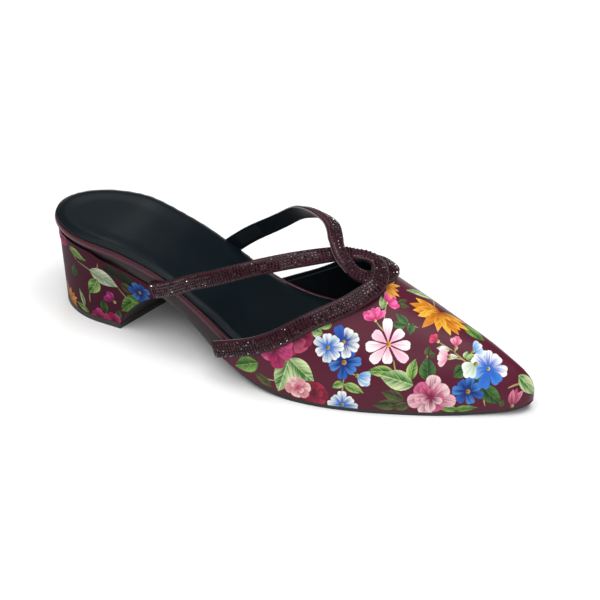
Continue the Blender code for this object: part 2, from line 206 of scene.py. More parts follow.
@dataclass
class Curve:
    """A smooth function through a few points at rising places, held level past its ends."""

    across: Array
    values: Array
    bend: Bend

    def __post_init__(self) -> None:
        """Work out the slope at each point."""
        self.step = np.diff(self.across)
        rise = np.diff(self.values) / self.step
        self.lean = self._held(rise) if self.bend is Bend.HELD else self._fair(rise)

    @staticmethod
    def _held(rise: Array) -> Array:
        """Return slopes that never pass a level point.

        Args:
            rise: Slope of each chord.

        Returns:
            Slope at each point.
        """
        product = rise[:-1] * rise[1:]
        total = rise[:-1] + rise[1:]
        inner = np.where(product > 0, 2 * product / np.where(total == 0, 1, total), 0)
        return np.concatenate(([rise[0]], inner, [rise[-1]]))

    def _fair(self, rise: Array) -> Array:
        """Return the slopes of the natural spline.

        Args:
            rise: Slope of each chord.

        Returns:
            Slope at each point.
        """
        count = len(self.across)
        matrix = np.zeros((count, count))
        right = np.zeros(count)
        matrix[0, :2], right[0] = (2, 1), 3 * rise[0]
        matrix[-1, -2:], right[-1] = (1, 2), 3 * rise[-1]
        inverse = 1 / self.step
        for k in range(1, count - 1):
            matrix[k, k - 1:k + 2] = inverse[k - 1], 2 * (inverse[k - 1] + inverse[k]), inverse[k]
            right[k] = 3 * (rise[k - 1] * inverse[k - 1] + rise[k] * inverse[k])
        return np.linalg.solve(matrix, right)

    def __call__(self, x: Array) -> Array:
        """Return the curve's value at each place.

        Args:
            x: Places, held at the ends.

        Returns:
            Values there.
        """
        x = np.clip(np.asarray(x, float), self.across[0], self.across[-1])
        k = np.clip(np.searchsorted(self.across, x, "right") - 1, 0, len(self.step) - 1)
        t = (x - self.across[k]) / self.step[k]
        start = (1 + 2 * t) * (1 - t) ** 2
        turn = self.lean[k] * t * (1 - t) ** 2 - self.lean[k + 1] * t * t * (1 - t)
        return start * self.values[k] + (1 - start) * self.values[k + 1] + self.step[k] * turn

    def slope(self, x: Array) -> Array:
        """Return how fast the curve rises at each place."""
        return (self(x + SLOPE_REACH) - self(x - SLOPE_REACH)) / (2 * SLOPE_REACH)


def table_curve(table: Table, name: str, bend: Bend) -> Curve:
    """Return the curve of a table's named column against its first one."""
    return Curve(column(table, table[0][0]), column(table, name), bend)


def closing(curve: Callable, start: float, tip: float, end: float, share: Array) -> Array:
    """Carry a curve on past its start and round it off to an end value at the tip.

    Args:
        curve: Function of the station.
        start: Station where the rounding starts.
        tip: Station of the tip.
        end: Value at the tip.
        share: Shares of the way from the start to the tip.

    Returns:
        The curve's values at the shares.
    """
    lean = (curve(start) - curve(start - SLOPE_REACH)) / SLOPE_REACH
    handle = curve(start) + lean * (tip - start)
    return (1 - share) ** 2 * curve(start) + 2 * share * (1 - share) * handle + share ** 2 * end


def rounded_reach(start: float, tip: float, share: Array) -> Array:
    """Return how far forward a rounded toe has come at each share of its length."""
    return tip - (tip - start) * (1 - share) ** 2


class Last:
    """The form that the shoe is built on, with the line of the sole under it."""

    def __init__(self) -> None:
        """Read the tables."""
        self.ground = table_curve(GROUND, "height", Bend.HELD)
        self.lateral, self.medial, self.axis, self.crest = (
            table_curve(LAST, name, Bend.FAIR) for name in LAST[0][1:])
        self.throat_side = table_curve(TOPLINE, "station", Bend.HELD)
        self.stops = np.arange(FIRST_STOP, LAST_LENGTH + SLOPE_REACH, STOP_STEP)
        self.sections = self.measure(self.stops)

    def throat(self, degrees: Array) -> Array:
        """Return the station of the throat's edge at each angle."""
        far = 180 - degrees + THROAT_DROP * (degrees - 90) / 90
        return self.throat_side(np.where(degrees <= 90, degrees, far))

    def lean(self, x: Array) -> Array:
        """Return the angle at which the underside climbs."""
        return np.arctan(self.ground.slope(np.asarray(x, float)))

    def over_ground(self, x: Array, height: float) -> Array:
        """Return the height of a layer that lies parallel to the underside."""
        return self.ground(x) + height / np.cos(self.lean(x))

    def layer(self, x: Array, y: Array, height: Array) -> Array:
        """Return points that stand square on the underside at a height."""
        lean = self.lean(x)
        return np.stack([x - height * np.sin(lean), y, self.ground(x) + height * np.cos(lean)], axis=-1)

    def section(self, station: Array) -> tuple[Array, ...]:
        """Return x, outer y, inner y, crest y, feather z and crest z, read between measured stops."""
        return tuple(np.interp(station, self.stops, values) for values in self.sections)

    def measure(self, station: Array) -> tuple[Array, ...]:
        """Work out x, outer y, inner y, crest y, feather z and crest z at each station.

        Args:
            station: Rising stations.

        Returns:
            One row of numbers for each of the six.
        """
        feather = OUTSOLE_THICK + GAP
        body = np.minimum(station, TOE_START)
        share = np.clip((station - TOE_START) / (LAST_LENGTH - TOE_START), 0, 1)
        nose = self.over_ground(LAST_LENGTH, feather) + TOE_NOSE_HEIGHT
        rows = []
        for curve, end in (
            (lambda s: -self.lateral(s), TOE_TIP_SIDE), (self.medial, TOE_TIP_SIDE),
            (self.axis, TOE_TIP_SIDE), (self.crest, nose),
        ):
            rounded = closing(curve, TOE_START, LAST_LENGTH, end, share)
            rows.append(np.where(share > 0, rounded, curve(body)))
        near, far, middle, crest = rows
        x = np.where(share > 0, rounded_reach(TOE_START, LAST_LENGTH, share), station)
        return x, near, far, middle, self.over_ground(x, feather), crest

    def point(self, station: Array, angle: Array) -> Array:
        """Return points on the last.

        Args:
            station: Stations on the last.
            angle: Angles in radians.

        Returns:
            Points of the shoe.
        """
        x, near, far, middle, feather, crest = self.section(station)
        side = np.cos(angle)
        half = np.where(side > 0, middle - near, far - middle)
        return np.stack([x, middle - side * half, feather + (crest - feather) * np.sin(angle)], axis=-1)

    def slopes(self, station: Array, angle: Array) -> tuple[Array, Array]:
        """Return how a point moves for each millimetre of station and each radian.

        Args:
            station: Stations on the last.
            angle: Angles in radians.

        Returns:
            Steps along the foot and round it.
        """
        station = np.minimum(station, LAST_LENGTH - 2 * SLOPE_REACH)
        ahead = self.point(station + SLOPE_REACH, angle) - self.point(station - SLOPE_REACH, angle)
        around = self.point(station, angle + TURN_REACH) - self.point(station, angle - TURN_REACH)
        return ahead / (2 * SLOPE_REACH), around / (2 * TURN_REACH)

    def normal(self, station: Array, angle: Array) -> Array:
        """Return outward normals, turned to the front at the very tip of the toe.

        Args:
            station: Stations on the last.
            angle: Angles in radians.

        Returns:
            Directions of length 1.
        """
        ahead, around = self.slopes(station, angle)
        plain = unit(np.cross(ahead, around))
        front = smooth_step(LAST_LENGTH - TIP_BLEND, LAST_LENGTH, station)[..., None]
        return unit(plain * (1 - front) + np.array([1.0, 0.0, 0.0]) * front)

    def skin(self, station: Array, angle: Array, out: float) -> Array:
        """Return points at a distance outside the last."""
        return self.point(station, angle) + self.normal(station, angle) * out

    def move(self, station: Array, angle: Array, shift: Array) -> tuple[Array, Array]:
        """Return the change of station and angle that makes each small shift along the surface.

        Args:
            station: Stations on the last.
            angle: Angles in radians.
            shift: Steps in millimetres.

        Returns:
            Steps of station and of angle.
        """
        ahead, around = self.slopes(station, angle)
        pairs = ((ahead, ahead), (ahead, around), (around, around))
        long, cross, wide = (np.sum(a * b, axis=-1) for a, b in pairs)
        to_ahead, to_around = np.sum(shift * ahead, axis=-1), np.sum(shift * around, axis=-1)
        spread = long * wide - cross ** 2
        return (to_ahead * wide - to_around * cross) / spread, (to_around * long - to_ahead * cross) / spread


SHOE = Last()


def shoe_offset() -> Array:
    """Return the move from the shoe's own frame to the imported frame, in millimetres."""
    (heel_low, heel_high), (outsole_low, _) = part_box("heel"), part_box("outsole")
    return np.array([outsole_low.x / MM - HEEL_BACK, (heel_low.y + heel_high.y) / 2 / MM, 0.0])


OFFSET = shoe_offset()


def to_frame(points: Array) -> Array:
    """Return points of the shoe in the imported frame, in metres."""
    return (np.asarray(points, float) + OFFSET) * MM


def level(value: float) -> Callable:
    """Return a function that has one value all along the shoe."""
    return lambda station: value


@dataclass
class Outline:
    """Plan of a sole layer: a half ellipse at the heel, tables in the middle, a rounded toe.

    The edge lies an inset inside the half widths of the outer and the inner side.  The back of the heel,
    the start of the toe and its tip are stations.
    """

    lateral: Curve
    medial: Curve
    inset: Callable
    back: float
    toe: float
    tip: float

    def near(self, station: Array) -> Array:
        """Return y of the outer edge, before the ends are rounded."""
        return self.inset(station) - self.lateral(station)

    def far(self, station: Array) -> Array:
        """Return y of the inner edge, before the ends are rounded."""
        return self.medial(station) - self.inset(station)

    def edges(self, station: Array) -> tuple[Array, Array, Array]:
        """Return x and the two edges at each station.

        Args:
            station: Stations of the layer.

        Returns:
            x, outer y and inner y.
        """
        station = np.asarray(station, float)
        bend = np.sqrt(np.clip(1 - (1 - np.minimum(station, HEEL_ARC) / HEEL_ARC) ** 2, 0, 1))
        share = np.clip((station - self.toe) / (self.tip - self.toe), 0, 1)
        body = np.clip(station, HEEL_ARC, self.toe)
        heel_x = self.back + station * (HEEL_ARC - self.back) / HEEL_ARC
        body_x = np.where(station < HEEL_ARC, heel_x, station)
        x = np.where(share > 0, rounded_reach(self.toe, self.tip, share), body_x)
        sides = []
        for curve in (self.near, self.far):
            rounded = closing(curve, self.toe, self.tip, TOE_TIP_SIDE, share)
            sides.append(np.where(share > 0, rounded, curve(body) * bend))
        return x, sides[0], sides[1]

    def stations(self, share: Array) -> Array:
        """Return stations for shares of the length, close together round the heel and the toe.

        Args:
            share: Shares from the heel to the tip.

        Returns:
            Stations of the layer.
        """
        marks = np.linspace(0, 1, PLAN_MARKS)
        heel = HEEL_ARC * (1 - np.cos(math.pi / 2 * np.minimum(marks / HEEL_SHARE, 1)))
        middle = np.clip((marks - HEEL_SHARE) / MIDDLE_SHARE, 0, 1) * (self.toe - HEEL_ARC)
        start = HEEL_SHARE + MIDDLE_SHARE
        toe = np.clip((marks - start) / (1 - start), 0, 1) * (self.tip - self.toe)
        return np.interp(share, marks, heel + middle + toe)

    def ring(self, count: int) -> Array:
        """Return points round the whole edge in the plan, evenly spaced, from the toe by the outer side.

        Args:
            count: Number of points.

        Returns:
            Rows of x and y.
        """
        station = self.stations(np.linspace(1, 0, RING_MARKS))
        x, near, far = self.edges(station)
        plan = np.concatenate([np.stack([x, near], 1), np.stack([x, far], 1)[::-1][1:-1]])
        closed = np.concatenate([plan, plan[:1]])
        length = np.concatenate(([0], np.cumsum(np.linalg.norm(np.diff(closed, axis=0), axis=1))))
        marks = np.arange(count) / count * length[-1]
        return np.stack([np.interp(marks, length, closed[:, k]) for k in (0, 1)], axis=1)


OUTSOLE_EDGE = Outline(
    table_curve(OUTSOLE, "lateral", Bend.FAIR), table_curve(OUTSOLE, "medial", Bend.FAIR),
    level(0.0), HEEL_BACK, TOE_START, OUTSOLE_TIP,
)
MIDSOLE_EDGE = Outline(
    SHOE.lateral, SHOE.medial, level(MIDSOLE_INSET), HEEL_BACK, MIDSOLE_TOE_START, MIDSOLE_TIP)
INSOLE_INSET = table_curve(INSOLE, "inset", Bend.HELD)
INSOLE_EDGE = Outline(
    SHOE.lateral, SHOE.medial, INSOLE_INSET, HEEL_BACK + float(INSOLE_INSET(HEEL_ARC)) - MIDSOLE_INSET,
    MIDSOLE_TOE_START, INSOLE_TIP,
)


# Meshes

def start_fresh() -> None:
    """Leave nothing selected, so that an operator acts on the new piece alone."""
    bpy.ops.object.select_all(action="DESELECT")


def name_piece(name: str) -> Piece:
    """Name the piece that an operator has just added."""
    bpy.context.object.name = bpy.context.object.data.name = name
    return bpy.context.object


def vertices_of(piece: Piece) -> Array:
    """Return a piece's vertices as rows."""
    return np.array([vertex.co for vertex in piece.data.vertices], dtype=float)


def set_vertices(piece: Piece, places: Array) -> None:
    """Put a piece's vertices at new places, in metres."""
    piece.data.vertices.foreach_set("co", np.asarray(places, np.float32).ravel())
    piece.data.update()


def shaped_grid(name: str, rows: int, columns: int, place: Callable) -> Piece:
    """Add a grid and lay it out by a place function.

    Args:
        name: The piece's name.
        rows: Faces along the first share.
        columns: Faces along the second share.
        place: Function of two shares from 0 to 1 that gives points of the shoe.

    Returns:
        The new piece.
    """
    start_fresh()
    bpy.ops.mesh.primitive_grid_add(x_subdivisions=rows, y_subdivisions=columns, size=2.0)
    piece = name_piece(name)
    flat = (vertices_of(piece) + 1) / 2
    set_vertices(piece, to_frame(place(flat[:, 0], flat[:, 1])))
    merge_doubles(piece)
    return piece


def shaped_ring(name: str, path: int, around: int, place: Callable) -> Piece:
    """Add a torus and lay it along a closed path.

    Args:
        name: The piece's name.
        path: Steps along the path.
        around: Steps round its section.
        place: Function of the share of the path and the angle round the section.

    Returns:
        The new piece.
    """
    start_fresh()
    major = 10.0
    bpy.ops.mesh.primitive_torus_add(
        major_segments=path, minor_segments=around, major_radius=major, minor_radius=1.0)
    piece = name_piece(name)
    raw = vertices_of(piece)
    share = np.round(np.arctan2(raw[:, 1], raw[:, 0]) / (2 * math.pi) * path).astype(int) % path
    angle = np.arctan2(raw[:, 2], np.hypot(raw[:, 0], raw[:, 1]) - major)
    set_vertices(piece, to_frame(place(share, angle)))
    face_out(piece)
    return piece


def shaped_tube(name: str, rows: int, around: int, place: Callable) -> tuple[Piece, Array]:
    """Add a cylinder, cut it along its length and lay it along an open path with closed ends.

    Args:
        name: The piece's name.
        rows: Steps along the path.
        around: Steps round its section.
        place: Function of the share of the path, the angle round the section and the share of its radius.

    Returns:
        The new piece and the angle of each of its vertices.
    """
    start_fresh()
    bpy.context.tool_settings.mesh_select_mode = (False, True, False)
    bpy.ops.mesh.primitive_cylinder_add(vertices=around, radius=1.0, depth=2.0, end_fill_type="TRIFAN")
    piece = name_piece(name)
    bpy.ops.object.mode_set(mode="EDIT")
    bpy.ops.mesh.select_all(action="DESELECT")
    bpy.ops.object.mode_set(mode="OBJECT")
    for edge in piece.data.edges:
        ends = [piece.data.vertices[k].co.z for k in edge.vertices]
        edge.select = abs(ends[0] - ends[1]) > 1
    bpy.ops.object.mode_set(mode="EDIT")
    bpy.ops.mesh.subdivide(number_cuts=rows - 1)
    bpy.ops.object.mode_set(mode="OBJECT")
    raw = vertices_of(piece)
    radius = np.hypot(raw[:, 0], raw[:, 1])
    angle = np.arctan2(raw[:, 1], raw[:, 0])
    set_vertices(piece, to_frame(place((raw[:, 2] + 1) / 2, angle, radius)))
    face_out(piece)
    return piece, angle


def take(piece: Piece) -> None:
    """Select a piece alone and make it the active one.

    Args:
        piece: The piece that the next operator acts on.
    """
    start_fresh()
    piece.select_set(True)
    bpy.context.view_layer.objects.active = piece


def edit_all(piece: Piece, step: Callable) -> None:
    """Run an edit-mode operator on the whole of a piece.

    Args:
        piece: The piece to work on.
        step: Call of the operator.
    """
    take(piece)
    bpy.ops.object.mode_set(mode="EDIT")
    bpy.ops.mesh.select_all(action="SELECT")
    step()
    bpy.ops.object.mode_set(mode="OBJECT")


def merge_doubles(piece: Piece) -> None:
    """Close the poles and seams of a piece."""
    edit_all(piece, lambda: bpy.ops.mesh.remove_doubles(threshold=WELD))


def face_out(piece: Piece) -> None:
    """Turn the faces of a closed piece outwards."""
    edit_all(piece, lambda: bpy.ops.mesh.normals_make_consistent(inside=False))


def apply_modifier(piece: Piece, kind: str, **settings: object) -> None:
    """Add a modifier with its settings and apply it.

    Args:
        piece: The piece to work on.
        kind: The modifier's type.
        settings: Its properties.
    """
    take(piece)
    modifier = piece.modifiers.new(kind.title(), kind)
    for name, value in settings.items():
        setattr(modifier, name, value)
    bpy.ops.object.modifier_apply(modifier=modifier.name)


def thicken(piece: Piece, thickness: float, side: float = 1.0) -> None:
    """Give a sheet its wall, on the side that its faces point to or, at -1, behind them."""
    apply_modifier(piece, "SOLIDIFY", thickness=thickness * MM, offset=side, use_even_offset=True,
                   use_quality_normals=True)


def round_edges(piece: Piece, width: float, segments: int = 3) -> None:
    """Round the sharp edges of a piece to a width in millimetres."""
    apply_modifier(piece, "BEVEL", width=width * MM, segments=segments, limit_method="ANGLE",
                   angle_limit=math.radians(SHARP_ANGLE))


def shade_smooth(piece: Piece, angle: float = SHARP_ANGLE) -> None:
    """Shade a piece smooth, with its sharp edges kept."""
    take(piece)
    bpy.ops.object.shade_smooth_by_angle(angle=math.radians(angle))


def settle(piece: Piece, materials: Sequence[Material], slot: str, *replaced: str) -> None:
    """Dress a piece, let it ride on the shoe and hide the solids that it stands for.

    Args:
        piece: The finished piece.
        materials: Its materials in order.
        slot: Not used.
        replaced: Nodes that it hides.
    """
    for material in materials:
        piece.data.materials.append(material)
    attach(piece, BODY)
    if replaced:
        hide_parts(*replaced)
    LOG.info("%s: %d faces", piece.name, len(piece.data.polygons))


# Materials

# Nodes that most materials use
MATH = "ShaderNodeMath"
VECTOR_MATH = "ShaderNodeVectorMath"
RAMP = "ShaderNodeMapRange"
NOISE = "ShaderNodeTexNoise"
MIX = "ShaderNodeMix"

# Turn of the wave in one band of a weave
WAVE_TURN = 6.28


def linear(hex_colour: str) -> tuple[float, ...]:
    """Return an sRGB hex value as a linear colour."""
    values = [int(hex_colour[k:k + 2], 16) / 255 for k in (1, 3, 5)]
    return (*[v / 12.92 if v <= 0.04045 else ((v + 0.055) / 1.055) ** 2.4 for v in values], 1.0)


def per_metre(size: float) -> float:
    """Return the scale of a pattern whose repeat is a size in millimetres."""
    return 1 / (size * MM)


def result_of(node: Node) -> Socket:
    """Return the first output of a node that is in use."""
    return next(socket for socket in node.outputs if socket.enabled)


def add_node(tree: Tree, kind: str, inputs: dict, feeds: Socket | None = None, **settings: object) -> Node:
    """Add a node with its settings, constants and links.

    Args:
        tree: The material's node tree.
        kind: The node's type.
        inputs: Sockets by name or number, each with a constant, or the node or socket that feeds it.
        feeds: The socket that takes the node's result.
        settings: Properties of the node.

    Returns:
        The new node.
    """
    node = tree.nodes.new(kind)
    for name, value in settings.items():
        setattr(node, name, value)
    for name, value in inputs.items():
        source = result_of(value) if isinstance(value, Node) else value
        if isinstance(source, Socket):
            tree.links.new(source, node.inputs[name])
        else:
            node.inputs[name].default_value = source
    if feeds is not None:
        tree.links.new(result_of(node), feeds)
    return node


@dataclass(frozen=True)
class Finish:
    """A surface with its common optical values; each finish adds the pattern of its own."""

    name: str
    colour: str
    roughness: float = 0.5
    ior: float = 1.5
    specular: float = 0.5
    metallic: float = 0.0

    def material(self) -> Material:
        """Make the material: its constants first, then its pattern.

        Returns:
            The finished material.
        """
        material = bpy.data.materials.new(self.name)
        material.use_nodes = True
        tree = material.node_tree
        sockets = tree.nodes["Principled BSDF"].inputs
        for socket, value in (
            ("Base Color", linear(self.colour)), ("Roughness", self.roughness), ("IOR", self.ior),
            ("Specular IOR Level", self.specular), ("Metallic", self.metallic),
        ):
            sockets[socket].default_value = value
        self.pattern(tree, sockets)
        return material

    def pattern(self, tree: Tree, sockets: Sockets) -> None:
        """Add the surface's own pattern; a plain finish has none."""


@dataclass(frozen=True)
class SmoothLeather(Finish):
    """Polyurethane leather: a smooth rolled skin with very fine pebbles and soft broad gloss."""

    pebble: float = 0.9
    relief: float = 0.05
    firmness: float = 0.35
    cloud: float = 35.0
    worn_colour: str = "#2b353b"

    def pattern(self, tree: Tree, sockets: Sockets) -> None:
        """Add pebbles and cloudy changes of colour and gloss.

        Args:
            tree: The material's node tree.
            sockets: Inputs of its shader.
        """
        place = add_node(tree, "ShaderNodeTexCoord", {}).outputs["Object"]
        clouds = add_node(tree, NOISE, {"Vector": place, "Scale": per_metre(self.cloud), "Detail": 3.0})
        add_node(tree, RAMP, {0: clouds, 1: 0.3, 2: 0.7, 3: self.roughness - 0.05, 4: self.roughness + 0.07},
                 sockets["Roughness"])
        add_node(tree, MIX, {0: clouds, 6: linear(self.colour), 7: linear(self.worn_colour)},
                 sockets["Base Color"], data_type="RGBA")
        pebbles = add_node(tree, "ShaderNodeTexVoronoi", {"Vector": place, "Scale": per_metre(self.pebble)},
                           feature="SMOOTH_F1")
        relief = {"Height": pebbles, "Strength": self.firmness, "Distance": self.relief * MM}
        add_node(tree, "ShaderNodeBump", relief, sockets["Normal"])


@dataclass(frozen=True)
class Satin(Finish):
    """Polyester satin: long floats over a fine weave, so a soft gloss with faint cross lines."""

    thread: float = 0.45
    thread_height: float = 0.03
    slub: float = 9.0
    shade: str = "#3a1420"

    def pattern(self, tree: Tree, sockets: Sockets) -> None:
        """Add the weave, drawn about three times as coarse as real thread so that it can show.

        Args:
            tree: The material's node tree.
            sockets: Inputs of its shader.
        """
        place = add_node(tree, "ShaderNodeTexCoord", {}).outputs["Object"]
        slubs = add_node(tree, NOISE, {"Vector": place, "Scale": per_metre(self.slub), "Detail": 4.0})
        mask = add_node(tree, RAMP, {0: slubs, 1: 0.35, 2: 0.75, 3: 0.0, 4: 0.55})
        add_node(tree, MIX, {0: mask, 6: linear(self.colour), 7: linear(self.shade)},
                 sockets["Base Color"], data_type="RGBA")
        weave = add_node(tree, "ShaderNodeTexWave",
                         {"Vector": place, "Scale": per_metre(self.thread) / WAVE_TURN, "Distortion": 0.4},
                         bands_direction="DIAGONAL").outputs["Fac"]
        add_node(tree, "ShaderNodeBump",
                 {"Height": weave, "Strength": 0.25, "Distance": self.thread_height * MM}, sockets["Normal"])


@dataclass(frozen=True)
class PrintedSatin(Finish):
    """Satin printed with painted flowers: colours come from the mesh, streaks and veins from the petals."""

    thread: float = 0.45
    thread_height: float = 0.03
    streaks: Three = (3.6, 0.7, 90.0)
    veins: Three = (9.0, 0.8, 90.0)
    vein_slant: float = 0.38
    bloom_from: float = 0.999
    leaf_from: float = 1.999

    def pattern(self, tree: Tree, sockets: Sockets) -> None:
        """Paint each petal from its root to its tip with streaks, and each leaf with its veins.

        Args:
            tree: The material's node tree.
            sockets: Inputs of its shader.
        """
        root, tip, petal = (
            add_node(tree, "ShaderNodeAttribute", {}, attribute_name=name)
            for name in ("root", "tip", "petal"))
        along, across, style = add_node(tree, "ShaderNodeSeparateXYZ", {0: petal.outputs["Vector"]}).outputs
        seed = add_node(tree, MATH, {0: style}, operation="FRACT")
        aside = add_node(tree, MATH, {0: across}, operation="ABSOLUTE")
        leafy = add_node(tree, MATH, {0: style, 1: self.leaf_from}, operation="GREATER_THAN")
        drawn = add_node(tree, MATH, {0: style, 1: self.bloom_from}, operation="GREATER_THAN")
        bloomy = add_node(tree, MATH, {0: drawn, 1: leafy}, operation="SUBTRACT")

        # Petals: light tips and sides, with streaks of the root's colour that run up from it
        spot = add_node(tree, "ShaderNodeCombineXYZ", {0: across, 1: along, 2: seed})
        stretched = add_node(tree, VECTOR_MATH, {0: spot, 1: self.streaks}, operation="MULTIPLY")
        streak = add_node(tree, NOISE, {"Vector": stretched, "Scale": 1.6, "Detail": 2.5})
        fibre = add_node(tree, MATH, {0: streak, 1: 0.5}, operation="SUBTRACT")
        reach = add_node(tree, MATH, {0: along, 1: 0.8}, operation="MULTIPLY")
        bulge = add_node(tree, MATH, {0: aside, 1: 2.0}, operation="POWER")
        rim = add_node(tree, MATH, {0: bulge, 1: 0.3, 2: reach}, operation="MULTIPLY_ADD")
        painted = add_node(tree, MATH, {0: fibre, 1: 0.9, 2: rim}, operation="MULTIPLY_ADD")

        # Leaves: one half lighter than the other, a middle rib and veins that slant off it
        slanted = add_node(tree, MATH, {0: aside, 1: -self.vein_slant, 2: along}, operation="MULTIPLY_ADD")
        vein_spot = add_node(tree, "ShaderNodeCombineXYZ", {0: slanted, 1: across, 2: seed})
        vein_place = add_node(tree, VECTOR_MATH, {0: vein_spot, 1: self.veins}, operation="MULTIPLY")
        vein = add_node(tree, NOISE, {"Vector": vein_place, "Scale": 1.4, "Detail": 2.0})
        vein_depth = add_node(tree, MATH, {0: vein, 1: 0.5}, operation="SUBTRACT")
        bloom_fade, half, edge, rib, line = (
            add_node(tree, RAMP, dict(enumerate(values)), interpolation_type="SMOOTHSTEP")
            for values in (
                (painted, 0.14, 0.86, 0.0, 1.0), (across, -0.1, 0.1, 0.05, 0.3),
                (aside, 0.05, 0.95, 0.0, 0.62), (aside, 0.02, 0.09, 0.45, 0.0), (aside, 0.78, 1.02, 0.0, 0.5),
            ))
        ribs = add_node(tree, MATH, {0: vein_depth, 1: 1.5, 2: rib}, operation="MULTIPLY_ADD")
        halves = add_node(tree, MATH, {0: half, 1: edge}, operation="ADD")
        leaf_fade = add_node(tree, MATH, {0: halves, 1: ribs}, operation="ADD")

        # Colours, with a thin line of the root's colour round each petal
        fade = add_node(tree, MIX, {0: leafy, 2: bloom_fade, 3: leaf_fade}, data_type="FLOAT")
        colour = add_node(tree, MIX, {0: fade, 6: root, 7: tip}, data_type="RGBA", clamp_factor=True)
        outline = add_node(tree, MATH, {0: line, 1: bloomy}, operation="MULTIPLY")
        add_node(tree, MIX, {0: outline, 6: colour, 7: root}, sockets["Base Color"], data_type="RGBA")
        cloth = add_node(tree, "ShaderNodeUVMap", {}, uv_map="cloth")
        weave = add_node(tree, "ShaderNodeTexWave",
                         {"Vector": cloth, "Scale": 1 / self.thread / WAVE_TURN, "Distortion": 0.5},
                         bands_direction="DIAGONAL").outputs["Fac"]
        add_node(tree, "ShaderNodeBump",
                 {"Height": weave, "Strength": 0.2, "Distance": self.thread_height * MM}, sockets["Normal"])


@dataclass(frozen=True)
class Rubber(Finish):
    """Moulded rubber: matte, with a fine grit left by the mould."""

    grit: float = 0.7
    grit_height: float = 0.06
    scuff: float = 14.0

    def pattern(self, tree: Tree, sockets: Sockets) -> None:
        """Add the grit and scuffed patches.

        Args:
            tree: The material's node tree.
            sockets: Inputs of its shader.
        """
        place = add_node(tree, "ShaderNodeTexCoord", {}).outputs["Object"]
        grains, scuffs = (
            add_node(tree, NOISE, {"Vector": place, "Scale": per_metre(size), "Detail": detail})
            for size, detail in ((self.grit, 2.0), (self.scuff, 5.0)))
        add_node(tree, RAMP, {0: scuffs, 1: 0.3, 2: 0.7, 3: self.roughness - 0.12, 4: self.roughness + 0.1},
                 sockets["Roughness"])
        add_node(tree, "ShaderNodeBump",
                 {"Height": grains, "Strength": 0.3, "Distance": self.grit_height * MM}, sockets["Normal"])


@dataclass(frozen=True)
class CutGlass(Finish):
    """Pressed glass stones with a dark foil behind: deep wine colour and hard bright facets."""

    spread: str = "#341019"
    patch: float = 2.4

    def pattern(self, tree: Tree, sockets: Sockets) -> None:
        """Let the colour differ from stone to stone.

        Args:
            tree: The material's node tree.
            sockets: Inputs of its shader.
        """
        place = add_node(tree, "ShaderNodeTexCoord", {}).outputs["Object"]
        patches = add_node(tree, NOISE, {"Vector": place, "Scale": per_metre(self.patch), "Detail": 0.0})
        mask = add_node(tree, RAMP, {0: patches, 1: 0.42, 2: 0.62})
        add_node(tree, MIX, {0: mask, 6: linear(self.colour), 7: linear(self.spread)},
                 sockets["Base Color"], data_type="RGBA")


# Ground colours of the printed satin on the vamp and on the heel; the heel's is darker as painted shade
BURGUNDY = "#54182c"
SHADED_HEEL_BURGUNDY = "#3d1222"

# Vamp: woven satin with the print on it, so a broad soft shine lies over flowers and ground alike
VAMP_SATIN = PrintedSatin("printed polyester satin", BURGUNDY, 0.38, specular=0.2)
# Heel: the same cloth glued tight round a block, its ground and print darkened as painted shade, and almost
# without shine
SHADED_HEEL_SATIN = PrintedSatin("printed heel satin", SHADED_HEEL_BURGUNDY, 0.5, specular=0.06)
# Binding: plain satin folded over an edge, which catches the light in a thin bright line
BINDING_SATIN = Satin("burgundy polyester satin", "#4b1827", 0.34, specular=0.32)
# Board: satin stretched over a board and greyed by it, so dull with a faint weave
WRAP_SATIN = Satin("grey burgundy satin", "#2c1f24", 0.45, specular=0.22, shade="#21171b")
# Straps: satin drawn over a soft filling, with a narrow gloss along each side
STRAP_SATIN = Satin("strap satin", "#3a1620", 0.36, specular=0.25)
# Net between the stones: coarse thread in the stones' shade, a little lighter than they are
STONE_NET = Satin("stone net", "#3b1f28", 0.45, specular=0.13, shade="#2a161d")
# Heel's front: satin darkened to near black as painted shade, and hardly shining
SHADED_BREAST_SATIN = Satin("heel front satin in painted shade", "#1c1416", 0.5, shade="#120c0e")
# Linings: thin synthetic leather rolled to a fine grain, blue black with a dull gloss
LINING_LEATHER = SmoothLeather(
    "black lining leather", "#0a151d", 0.5, specular=0.3, pebble=0.7, worn_colour="#0c1318")
# Insole: the same leather pulled smooth over foam, with one long soft highlight
SOCK_LEATHER = SmoothLeather(
    "blue black padded leather", "#0a1217", 0.32, specular=0.09, worn_colour="#0f191e")
# Patch over the lining's seam: leather with a coarser grain and no gloss
PATCH_LEATHER = SmoothLeather(
    "lining seam patch", "#0f161a", 0.6, specular=0.2, pebble=0.8, relief=0.15, worn_colour="#20282b")
# Cut edge of a lining: the bare backing of the leather, lightened to a thin grey line as a painted highlight
CUT_EDGE_HIGHLIGHT = Finish("cut lining edge", "#6f6a6c", 0.6)
# Outsole: rubber sheet from a mould, matte black with fine grit
SHEET_RUBBER = Rubber("black rubber sheet", "#1c1a18", 0.5)
# Top lift: harder rubber, a little greyer
LIFT_RUBBER = Rubber("top lift rubber", "#2a2826", 0.55)
# Stones: pressed glass, near black with sharp small reflections
STONE_GLASS = CutGlass("wine glass stones", "#15060a", 0.08, ior=1.6, specular=0.28)
# Stone facets picked at random and given a near-white metal: painted glints, brightened further by real
# reflections of the lamps
STONE_GLINT_METAL = Finish("painted stone glints", "#e9dfe2", 0.12, metallic=0.9)
# Floor: matte white paper
STUDIO_PAPER = Finish("studio paper", "#f4f4f4", 0.9, specular=0.1)


# The print

class Mark(Enum):
    """How a printed shape is painted; its value is the whole part of the petal attribute's third number."""

    PLAIN = 0
    BLOOM = 1
    LEAF = 2


